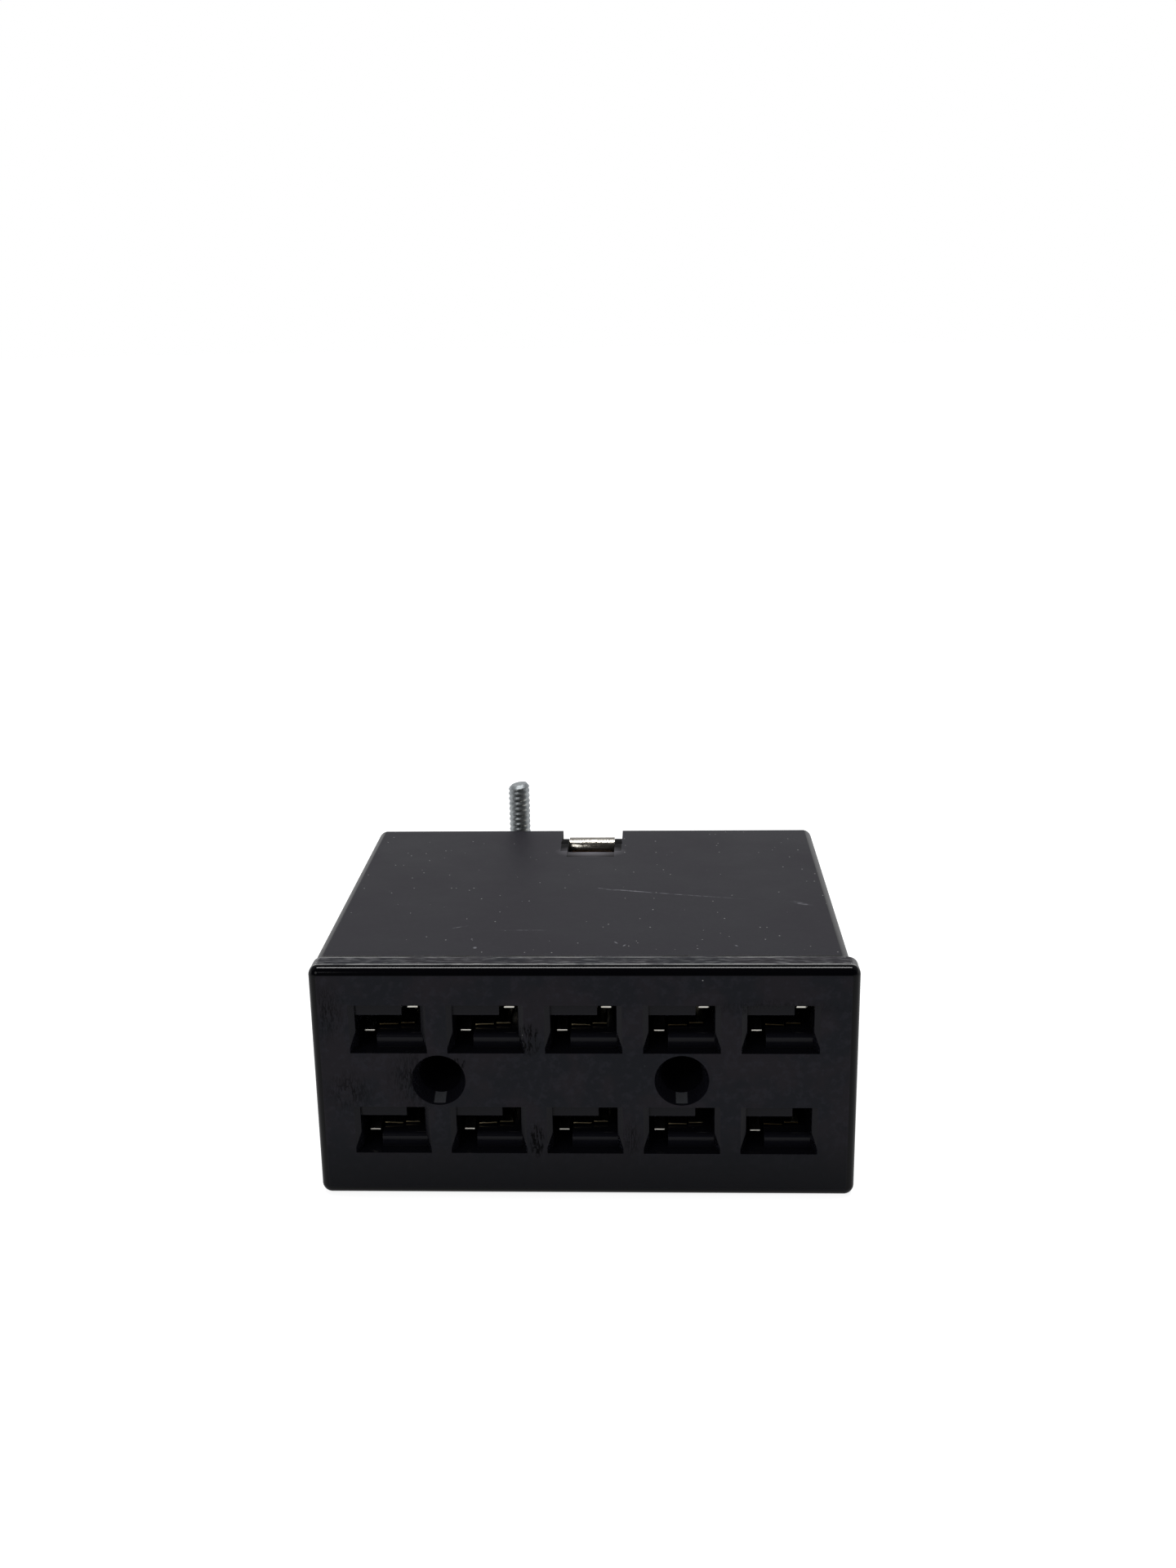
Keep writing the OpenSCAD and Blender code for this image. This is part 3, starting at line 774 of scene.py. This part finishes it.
def lathe(outline: list[tuple[float, float]], steps: int) -> Shape:
    """Spins an outline about the Z axis.

    Args:
        outline: Radius and height pairs in millimetres.
        steps: Number of steps round.

    Returns:
        The closed shape in metres.
    """
    shape = bmesh.new()
    points = [shape.verts.new((r * MM, 0, z * MM)) for r, z in outline]
    edges = [shape.edges.new(pair) for pair in zip(points, points[1:])]
    bmesh.ops.spin(
        shape, geom=points + edges, axis=(0, 0, 1), angle=math.tau, steps=steps, use_merge=True
    )
    bmesh.ops.remove_doubles(shape, verts=shape.verts, dist=1e-7)
    bmesh.ops.holes_fill(shape, edges=shape.edges, sides=steps)
    return shape


def join_into(shape: Shape, other: Shape) -> None:
    """Adds one shape to another as a separate shell.

    Args:
        shape: The shape that grows.
        other: The shape that is added and then freed.
    """
    data = bpy.data.meshes.new("joined")
    other.to_mesh(data)
    other.free()
    shape.from_mesh(data)
    bpy.data.meshes.remove(data)


# ---- the socket

# places on the face where hard things chafed it: X, Z, three half sizes, strength
CHAFES = tuple(
    Mark((x, -23.4, z), tuple(half), strength=strength)
    for x, z, *half, strength in (
        (-26.6, 21.2, 2.4, 1.5, 4.0, 0.45),
        (-24.6, 12.2, 3.0, 1.5, 3.0, 0.5),
        (-17.6, 13.6, 3.6, 1.5, 4.0, 0.6),
        (-5.6, 18.2, 1.3, 2.5, 2.0, 2.0),
        (-5.1, 6.6, 0.9, 2.5, 2.2, 2.0),
        (4.9, 6.8, 1.2, 1.5, 2.6, 0.5),
        (-13.1, 15.5, 1.0, 1.5, 0.7, 2.0),
        (19.5, 21.8, 9.0, 1.5, 1.2, 0.4),
    )
)

# scratches and nicks on the shell's top: X, Y, half length, half width, turn, strength
SCRATCHES = tuple(
    Mark((x, y, 26.0), (length, width, 0.6), turn, strength)
    for x, y, length, width, turn, strength in (
        (10.0, -1.3, 9.2, 0.12, -11.5, 0.7),
        (4.6, -0.1, 3.2, 0.2, -13.0, 0.8),
        (1.9, 0.5, 1.5, 0.2, -20.0, 1.0),
        (24.0, -4.3, 1.7, 0.4, -30.0, 0.8),
        (-14.0, -11.5, 1.3, 0.12, 24.0, 0.6),
        (-6.5, -12.4, 3.4, 0.1, 0.0, 0.5),
        (3.3, -16.0, 0.12, 0.4, 35.0, 1.0),
        (4.2, -16.8, 0.12, 0.35, -30.0, 1.0),
        (-11.6, -17.4, 0.25, 0.3, 0.0, 1.0),
        (-12.2, -15.0, 0.13, 0.25, 0.0, 1.0),
        (16.0, -16.9, 0.15, 0.3, 40.0, 1.0),
    )
)


@dataclass
class Mouldings:
    """The contact block and the wiring shell, whose shapes come from the CAD part.

    `flares` gives two corners beside each blade mouth's foot, from the mouth's middle, and the
    heights that they move to; a corner is found when a point lies within `near` of it.
    """

    pitch: float = 10.16
    rows: tuple[float, float] = (7.78, 19.34)
    flares: tuple[tuple[tuple[float, float, float], float], ...] = (
        ((4.02, 0.0, -0.85), -2.15),
        ((3.425, 0.5, -1.18), -0.45),
    )
    near: float = 0.05
    lip_r: float = 1.1
    shell_r: float = 1.1
    notch_x: tuple[float, float] = (-4.25, 3.35)
    notch_y: float = 14.4

    def skin(self, node: str, radius: float, gap_x: tuple[float, float]) -> RoundedSkin:
        """Takes a moulding's outer skin from its CAD box.

        Args:
            node: The node's name.
            radius: Radius of its edges in millimetres.
            gap_x: Sides of the notches in it, or FAR twice for none.

        Returns:
            The skin, whose rounded end is as far from the middle as the face is.
        """
        low, high = (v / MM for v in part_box(node))
        reach = max(abs(low.y), abs(high.y))
        middle = (low + high) / 2
        half = (high - low) / 2
        centre = (middle.x, 0.0, middle.z)
        return RoundedSkin(centre, (half.x, reach, half.z), radius, gap_x, self.notch_y)

    def flare(self, data: bpy.types.Mesh) -> None:
        """Slants the step beside each blade mouth's foot, as the die's flare does.

        Args:
            data: The contact block's mesh, in metres.
        """
        face = min(vert.co.y for vert in data.vertices) / MM
        moved = 0
        for vert in data.vertices:
            x, y, z = vert.co / MM
            row = self.rows[z > sum(self.rows) / 2]
            across = abs((x + self.pitch / 2) % self.pitch - self.pitch / 2)
            place = Vector((across, y - face, z - row))
            for corner, height in self.flares:
                if (place - Vector(corner)).length < self.near:
                    vert.co.z = (row + height) * MM
                    moved += 1
        LOG.info("%d corners of the blade mouths slanted", moved)

    def build(self) -> None:
        """Shapes the block's mouths and gives both mouldings their finishes."""
        lip = self.skin("contact_block", self.lip_r, (FAR, FAR))
        finish = BlackPhenolic(lip, CHAFES).build()
        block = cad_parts["contact_block"].data.copy()
        block.materials.clear()
        self.flare(block)
        new_piece("contact_block_moulded", block, [finish], Body.SOCKET, "contact_block")
        shell = self.skin("housing_shell", self.shell_r, self.notch_x)
        dress("housing_shell", SatinPhenolic(shell, SCRATCHES).build())


@dataclass
class Contacts:
    """The ten stamped contacts: edges rolled over, tines and leaves each a little bent."""

    edge: float = 0.08
    tine_inner: float = 1.7
    tine_reach: float = 3.4
    leaf_reach: float = 2.4
    leaf_forward: float = 0.9
    tip_z: float = 1.35
    tip_reach: float = 0.3
    tip_thinned: float = 0.1
    coined: float = 0.14
    leaf_under: float = -1.0
    leaf_splits: tuple[float, float] = (-0.4, 0.7)
    upper_row: float = 13.56
    upper_spread: float = 0.02
    lower_spread: float = 0.1
    square: float = 0.9
    count: int = 10
    tarnished: tuple[int, ...] = (1, 4, 5, 10)

    def bend(self, shape: Shape, node: str) -> None:
        """Bends one contact's tines and leaves by a few hundredths of a millimetre.

        Args:
            shape: The contact.
            node: Its CAD node's name.
        """
        low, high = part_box(node)
        middle = (low + high) / 2
        is_high = middle.z > self.upper_row * MM
        spread = self.upper_spread if is_high else self.lower_spread
        tines = (random.uniform(-0.05, 0.05), spread + random.uniform(-0.02, 0.02))
        leaves = [random.uniform(-0.08, 0.06) for _ in range(3)]
        for vert in shape.verts:
            depth = (vert.co.y - low.y) / MM
            across = (vert.co.x - middle.x) / MM
            height = (vert.co.z - middle.z) / MM
            is_upper = across > self.tine_inner and vert.co.z > middle.z
            is_tine = is_upper or across < -self.tine_inner
            side = 1 if is_upper else -1
            if is_tine and depth < self.tine_reach:
                share = 1 - depth / self.tine_reach
                is_under = height < side * self.tip_z and depth < self.tip_reach
                vert.co.z += (tines[is_upper] * share + self.tip_thinned * is_under) * MM
            elif not is_tine and depth < self.leaf_reach:
                leaf = leaves[sum(across > split for split in self.leaf_splits)]
                vert.co.z += (leaf + self.coined * (height < self.leaf_under)) * MM
                vert.co.y -= self.leaf_forward * MM

    def sheared(self, shape: Shape, node: str) -> None:
        """Marks the faces that the stamping sheared, which show bare brass.

        Args:
            shape: The contact.
            node: Its CAD node's name.
        """
        low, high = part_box(node)
        middle = (low.x + high.x) / 2
        for face in shape.faces:
            centre = face.calc_center_median()
            is_inner = abs(centre.x - middle) < self.tine_inner * MM
            is_leaf_end = face.normal.y < -self.square and is_inner
            if abs(face.normal.x) > self.square or is_leaf_end:
                face.material_index = 1

    def build(self) -> None:
        """Models the ten contacts."""
        plated = SheetMetal("tin_plated_spring_brass", "#dedbd2", "#a89f8b", 0.14).build()
        clean = SheetMetal("sheared_spring_brass", "#93876a", "#5c5135", 0.26).build()
        dark = SheetMetal("tarnished_spring_brass", "#5d5038", "#2c2519", 0.3).build()
        for index in range(1, self.count + 1):
            node = f"contact_{index}"
            shape = whole_copy(node)
            self.sheared(shape, node)
            self.bend(shape, node)
            break_edges(shape, self.edge, 3)
            cut = dark if index in self.tarnished else clean
            data = smooth_mesh(shape)
            new_piece(f"{node}_stamped", data, [plated, cut], Body.SOCKET, node)


@dataclass
class RearInsulator:
    """The board behind the block and its two slotted screws."""

    zinc: bpy.types.Material
    edge: float = 0.15

    def build(self) -> None:
        """Dresses the board and models the screws."""
        dress("rear_insulator", PaperPhenolic().build())
        for side in ("left", "right"):
            node = f"insulator_screw_{side}"
            shape = whole_copy(node)
            break_edges(shape, self.edge)
            data = smooth_mesh(shape)
            new_piece(f"{node}_turned", data, [self.zinc], Body.SOCKET, node)


@dataclass
class CableClamp:
    """The clamp behind the shell: sheet-steel frame, saddle, long screw, washer and nut."""

    zinc: bpy.types.Material
    screw_r: float = 1.38
    root_r: float = 1.26
    bore_r: float = 1.42
    pitch: float = 25.4 / 36
    around: int = 36
    rows_per_turn: int = 12
    flank: float = 1.5
    root_flat: float = 0.2
    thread_start: float = 0.4
    tip: float = 0.5
    tip_slope: float = 0.75
    askew: float = 0.2
    askew_from: float = 1.0
    overlap: float = 0.2
    head_r: float = 2.7
    head_rim: float = 0.15
    head_round: float = 0.8
    head_steps: int = 6
    head_around: int = 40
    slot_w: float = 0.9
    slot_deep: float = 0.9
    washer_edge: float = 0.1
    nut_room: float = 0.08
    nut_lead: tuple[float, float] = (0.35, 0.3)
    nut_low: float = 0.22
    nut_high: float = 0.28
    nut_around: int = 48
    sheet_edge: float = 0.07
    fold_z: float = 22.0
    fold_y: float = 21.0
    fold_rise: float = 0.45

    def build(self) -> None:
        """Models every piece of the clamp."""
        nickel = SheetMetal("nickel_plated_rolled_steel", "#d9d4ca", "#9a8f80", 0.16, 0.04).build()
        for node, body in (("clamp_frame", Body.SOCKET), ("clamp_saddle", Body.SADDLE)):
            shape = whole_copy(node)
            self.spring_up(shape)
            break_edges(shape, self.sheet_edge)
            data = smooth_mesh(shape)
            new_piece(f"{node}_pressed", data, [nickel], body, node)
        self.screw()
        self.washer()
        self.nut()

    def fasten(self, node: str, kind: str, shape: Shape, body: Body) -> None:
        """Finishes one zinc-plated piece.

        Args:
            node: The CAD node that it stands for.
            kind: What its name ends in.
            shape: Its shape, in metres.
            body: The CAD body that it moves with.
        """
        data = smooth_mesh(shape)
        new_piece(f"{node}_{kind}", data, [self.zinc], body, node)

    def spring_up(self, shape: Shape) -> None:
        """Springs the folded strap in the shell's notch up a little.

        Args:
            shape: A piece of the clamp; only the frame reaches that high so far forward.
        """
        for vert in shape.verts:
            if vert.co.z > self.fold_z * MM and vert.co.y < self.fold_y * MM:
                vert.co.z += self.fold_rise * MM

    def axis(self) -> Vector:
        """Finds the middle of the screw.

        Returns:
            The point where its axis meets the base's plane.
        """
        low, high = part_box("clamp_washer")
        return Vector(((low.x + high.x) / 2, (low.y + high.y) / 2, 0))

    def heights(self, node: str) -> tuple[float, float]:
        """Finds a piece's lowest and highest points.

        Args:
            node: Its CAD node's name.

        Returns:
            Both heights in millimetres.
        """
        low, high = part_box(node)
        return low.z / MM, high.z / MM

    def radius_at(self, turn: float, height: float, start: float, top: float) -> float:
        """Works out the thread's radius at one point.

        Args:
            turn: Angle round the screw.
            height: Height of the point.
            start: Height at which the thread starts.
            top: Height of the tip.

        Returns:
            The radius in millimetres, run out at both ends.
        """
        phase = (height / self.pitch - turn / math.tau) % 1.0
        crest = self.flank * (1 - abs(2 * phase - 1)) - self.root_flat
        crest = min(1.0, max(0.0, crest))
        crest *= min(1.0, max(0.0, (height - start) / self.pitch))
        radius = self.root_r + (self.screw_r - self.root_r) * crest
        point = max(0.0, self.tip - (top - height)) * self.tip_slope
        return min(radius, self.screw_r - point)

    def screw(self) -> None:
        """Models the screw: a slotted round head and a rolled thread."""
        bottom, top = self.heights("clamp_screw")
        seat = self.heights("clamp_washer")[0]
        shape = bmesh.new()
        bmesh.ops.create_circle(shape, radius=self.root_r * MM, segments=self.around)
        bmesh.ops.translate(shape, vec=(0, 0, (seat - self.overlap) * MM), verts=shape.verts)
        ring = shape.edges[:]
        rows = int((top - seat) / self.pitch * self.rows_per_turn)
        for row in range(rows + 1):
            height = seat + (top - seat) * row / rows
            grown = bmesh.ops.extrude_edge_only(shape, edges=ring)["geom"]
            ring = [g for g in grown if isinstance(g, bmesh.types.BMEdge)]
            for vert in [g for g in grown if isinstance(g, bmesh.types.BMVert)]:
                turn = math.atan2(vert.co.y, vert.co.x)
                radius = self.radius_at(turn, height, seat + self.thread_start, top)
                x, y = math.cos(turn) * radius, math.sin(turn) * radius
                vert.co = Vector((x, y, height)) * MM
        bmesh.ops.holes_fill(shape, edges=shape.edges, sides=self.around)
        for vert in shape.verts:
            share = max(0.0, vert.co.z / MM - top + self.askew_from)
            vert.co.z -= self.askew * share * (MM - vert.co.x / self.root_r)
        join_into(shape, self.head(bottom, seat))
        bmesh.ops.translate(shape, vec=self.axis(), verts=shape.verts)
        self.fasten("clamp_screw", "threaded", shape, Body.SCREW)

    def head(self, bottom: float, top: float) -> Shape:
        """Models the slotted round head under the lower jaw.

        Args:
            bottom: Height of the head's lowest point.
            top: Height of the face that bears on the washer.

        Returns:
            The head, centred on the axis.
        """
        r, rim, bend = self.head_r, self.head_rim, self.head_round
        outline = [(0.0, top), (r - rim, top), (r, top - rim), (r, bottom + bend)]
        for step in range(1, self.head_steps):
            angle = math.pi / 2 * step / self.head_steps
            outline.append((r * math.cos(angle), bottom + bend - bend * math.sin(angle)))
        outline.append((0.0, bottom))
        shape = lathe(outline, self.head_around)
        for y in (-self.slot_w / 2, self.slot_w / 2):
            geom = shape.verts[:] + shape.edges[:] + shape.faces[:]
            bmesh.ops.bisect_plane(shape, geom=geom, plane_co=(0, y * MM, 0), plane_no=(0, 1, 0))
        floor = (bottom + self.slot_deep) * MM
        inside = (self.slot_w / 2 - 0.01) * MM
        for vert in shape.verts:
            if abs(vert.co.y) < inside and vert.co.z < floor:
                vert.co.z = floor
        return shape

    def washer(self) -> None:
        """Models the washer with its blanked edges."""
        shape = whole_copy("clamp_washer")
        break_edges(shape, self.washer_edge, 3)
        self.fasten("clamp_washer", "blanked", shape, Body.SCREW)

    def nut(self) -> None:
        """Models the hexagon nut: turned chamfers on its corners and round its hole."""
        bottom, top = self.heights("clamp_nut")
        low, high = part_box("clamp_nut")
        corner = (high.x - low.x) / 2 / MM
        flat = corner * math.cos(math.pi / 6)
        hole = self.bore_r + self.nut_room
        lead, deep = self.nut_lead
        outline = [(hole, bottom + deep), (hole + lead, bottom), (flat, bottom)]
        outline += [(corner, bottom + self.nut_low), (corner, top - self.nut_high)]
        outline += [(flat, top), (hole + lead, top), (hole, top - deep), (hole, bottom + deep)]
        shape = lathe(outline, self.nut_around)
        for vert in shape.verts:
            turn = math.atan2(vert.co.y, vert.co.x)
            radius = math.hypot(vert.co.x, vert.co.y)
            limit = flat * MM / math.cos(turn % (math.pi / 3) - math.pi / 6)
            if radius > limit:
                vert.co.x *= limit / radius
                vert.co.y *= limit / radius
        bmesh.ops.translate(shape, vec=self.axis(), verts=shape.verts)
        self.fasten("clamp_nut", "hexagon", shape, Body.SADDLE)


# ---- the studio


@dataclass(frozen=True)
class SoftBox:
    """A rectangular lamp that points at the socket: place and size in metres, power in watts."""

    name: str
    place: tuple[float, float, float]
    size: tuple[float, float]
    power: float

    def build(self, target: Vector) -> None:
        """Hangs the lamp.

        Args:
            target: The point that it faces, in metres.
        """
        light = bpy.data.lights.new(self.name, "AREA")
        light.shape = "RECTANGLE"
        light.size, light.size_y = self.size
        light.energy = self.power
        lamp = stand(self.name, light)
        place = Vector(self.place)
        turn = (target - place).to_track_quat("-Z", "Y")
        lamp.matrix_world = Matrix.Translation(place) @ turn.to_matrix().to_4x4()


@dataclass
class Studio:
    """A plain pale floor, soft light and the camera.

    Sizes are in metres, apart from the camera's `lens` and `eye`, in millimetres. `behind` and
    `before` pair a height (sine of the elevation) with a brightness. `glow` is the floor's own
    light, for most rays and for the camera's. The floor lies just under the base.
    """

    boxes: tuple[SoftBox, ...] = (
        SoftBox("overhead_box", (0, 0.03, 0.6), (0.4, 0.1), 2.8),
        SoftBox("front_box", (-0.35, -0.6, 0.45), (0.3, 0.3), 0.7),
    )
    target: tuple[float, float, float] = (0, 0, 0.013)
    behind: tuple[tuple[float, float], ...] = ((0.22, 1.0), (0.3, 0.5), (0.45, 0.28), (0.9, 0.3))
    before: tuple[tuple[float, float], ...] = ((0.0, 0.45), (0.12, 0.1), (0.3, 0.012))
    fill: float = 0.38
    glow: tuple[float, float] = (0.35, 0.88)
    floor_r: float = 6.0
    floor_z: float = -0.00002
    lens: float = 36.2
    eye: tuple[float, float, float] = (7.13, -172.11, 89.23)
    yaw: float = -2.391
    pitch: float = 16.288
    roll: float = -0.961

    def seen(self, tree: bpy.types.NodeTree) -> Socket:
        """Adds up the rays that show the background: camera, glossy and transmission rays.

        Args:
            tree: The node tree.

        Returns:
            1 for those rays and 0 for the rest.
        """
        rays = put(tree, "ShaderNodeLightPath").outputs
        result = rays["Is Camera Ray"]
        for kind in ("Is Glossy Ray", "Is Transmission Ray"):
            inputs = {0: result, 1: rays[kind]}
            result = put(tree, "ShaderNodeMath", inputs, operation="MAXIMUM").outputs[0]
        return result

    def floor(self) -> None:
        """Lays a white floor that keeps the shadow."""
        shape = bmesh.new()
        bmesh.ops.create_circle(shape, cap_ends=True, radius=self.floor_r, segments=64)
        data = bpy.data.meshes.new("floor")
        shape.to_mesh(data)
        shape.free()
        plane = stand("floor", data)
        plane.location.z = self.floor_z
        material = bpy.data.materials.new("matt_white_card")
        material.use_nodes = True
        tree = material.node_tree
        tree.nodes.clear()
        card = put(tree, "ShaderNodeBsdfDiffuse", {"Color": linear("#e8e8e8")})
        camera = put(tree, "ShaderNodeLightPath").outputs["Is Camera Ray"]
        low, high = self.glow
        level = put(tree, "ShaderNodeMapRange", {"Value": camera, "To Min": low, "To Max": high})
        white = {"Color": (1, 1, 1, 1), "Strength": level.outputs["Result"]}
        glow = put(tree, "ShaderNodeEmission", white)
        shade = put(tree, "ShaderNodeBsdfDiffuse", {"Color": (0.36, 0.36, 0.36, 1)})
        both = put(tree, "ShaderNodeAddShader", {0: glow.outputs[0], 1: shade.outputs[0]})
        mix = {0: self.seen(tree), 1: card.outputs[0], 2: both.outputs[0]}
        mixed = put(tree, "ShaderNodeMixShader", mix)
        put(tree, "ShaderNodeOutputMaterial", {"Surface": mixed.outputs[0]})
        data.materials.append(material)

    def fall(
        self, tree: bpy.types.NodeTree, height: Socket, stops: tuple[tuple[float, float], ...]
    ) -> Socket:
        """Makes one side of the room, whose brightness changes with height.

        Args:
            tree: The node tree.
            height: Sine of the elevation.
            stops: Pairs of height and brightness.

        Returns:
            The brightness.
        """
        node = put(tree, "ShaderNodeValToRGB", {"Fac": height})
        elements = node.color_ramp.elements
        while len(elements) < len(stops):
            elements.new(0.5)
        for element, (place, value) in zip(elements, stops):
            element.position = place
            element.color = (value, value, value * 1.02, 1)
        return node.outputs["Color"]

    def sky(self) -> None:
        """Sets a white backdrop under a dark ceiling behind, and a dark room in front."""
        world = bpy.data.worlds.new("studio")
        bpy.context.scene.world = world
        world.use_nodes = True
        tree = world.node_tree
        tree.nodes.clear()
        where = put(tree, "ShaderNodeTexCoord").outputs["Generated"]
        axes = put(tree, "ShaderNodeSeparateXYZ", {0: where}).outputs
        behind = self.fall(tree, axes["Z"], self.behind)
        before = self.fall(tree, axes["Z"], self.before)
        side = put(
            tree, "ShaderNodeMapRange", {"Value": axes["Y"], "From Min": -0.25, "From Max": 0.1}
        ).outputs["Result"]
        room = put(
            tree, "ShaderNodeMix", {0: side, 6: before, 7: behind}, data_type="RGBA"
        ).outputs[2]
        camera = put(tree, "ShaderNodeLightPath").outputs["Is Camera Ray"]
        white = {0: camera, 6: room, 7: (1.0, 1.0, 1.0, 1.0)}
        shown = put(tree, "ShaderNodeMix", white, data_type="RGBA").outputs[2]
        seen = put(tree, "ShaderNodeBackground", {"Color": shown, "Strength": 1.0})
        cool = {"Color": (0.96, 0.98, 1, 1), "Strength": self.fill}
        lit = put(tree, "ShaderNodeBackground", cool)
        mix = {0: self.seen(tree), 1: lit.outputs[0], 2: seen.outputs[0]}
        mixed = put(tree, "ShaderNodeMixShader", mix)
        put(tree, "ShaderNodeOutputWorld", {"Surface": mixed.outputs[0]})

    def camera(self) -> None:
        """Places the camera where the face and the top both show."""
        yaw, pitch, roll = (math.radians(v) for v in (self.yaw, self.pitch, self.roll))
        ahead = Vector(
            (math.sin(yaw) * math.cos(pitch), math.cos(yaw) * math.cos(pitch), -math.sin(pitch))
        )
        right = Vector((math.cos(yaw), -math.sin(yaw), 0))
        up = right.cross(ahead)
        across = right * math.cos(roll) + up * math.sin(roll)
        upward = up * math.cos(roll) - right * math.sin(roll)
        data = bpy.data.cameras.new("camera")
        data.lens = self.lens
        data.sensor_width = 36.0
        data.clip_start = 0.005
        eye = stand("camera", data)
        place = Matrix((across, upward, -ahead)).transposed().to_4x4()
        eye.matrix_world = Matrix.Translation(Vector(self.eye) * MM) @ place
        bpy.context.scene.camera = eye

    def build(self) -> None:
        """Sets up the whole studio."""
        bpy.context.scene.view_settings.view_transform = "Standard"
        self.floor()
        self.sky()
        for box in self.boxes:
            box.build(Vector(self.target))
        self.camera()
        LOG.info("studio ready")


def main() -> None:
    """Builds the studio and every piece in order."""
    random.seed(SEED)
    Studio().build()
    Mouldings().build()
    Contacts().build()
    zinc = ZincSteel().build()
    RearInsulator(zinc).build()
    CableClamp(zinc).build()


if __name__ == "__main__":
    logging.basicConfig(level=logging.INFO, format="%(message)s")
    main()
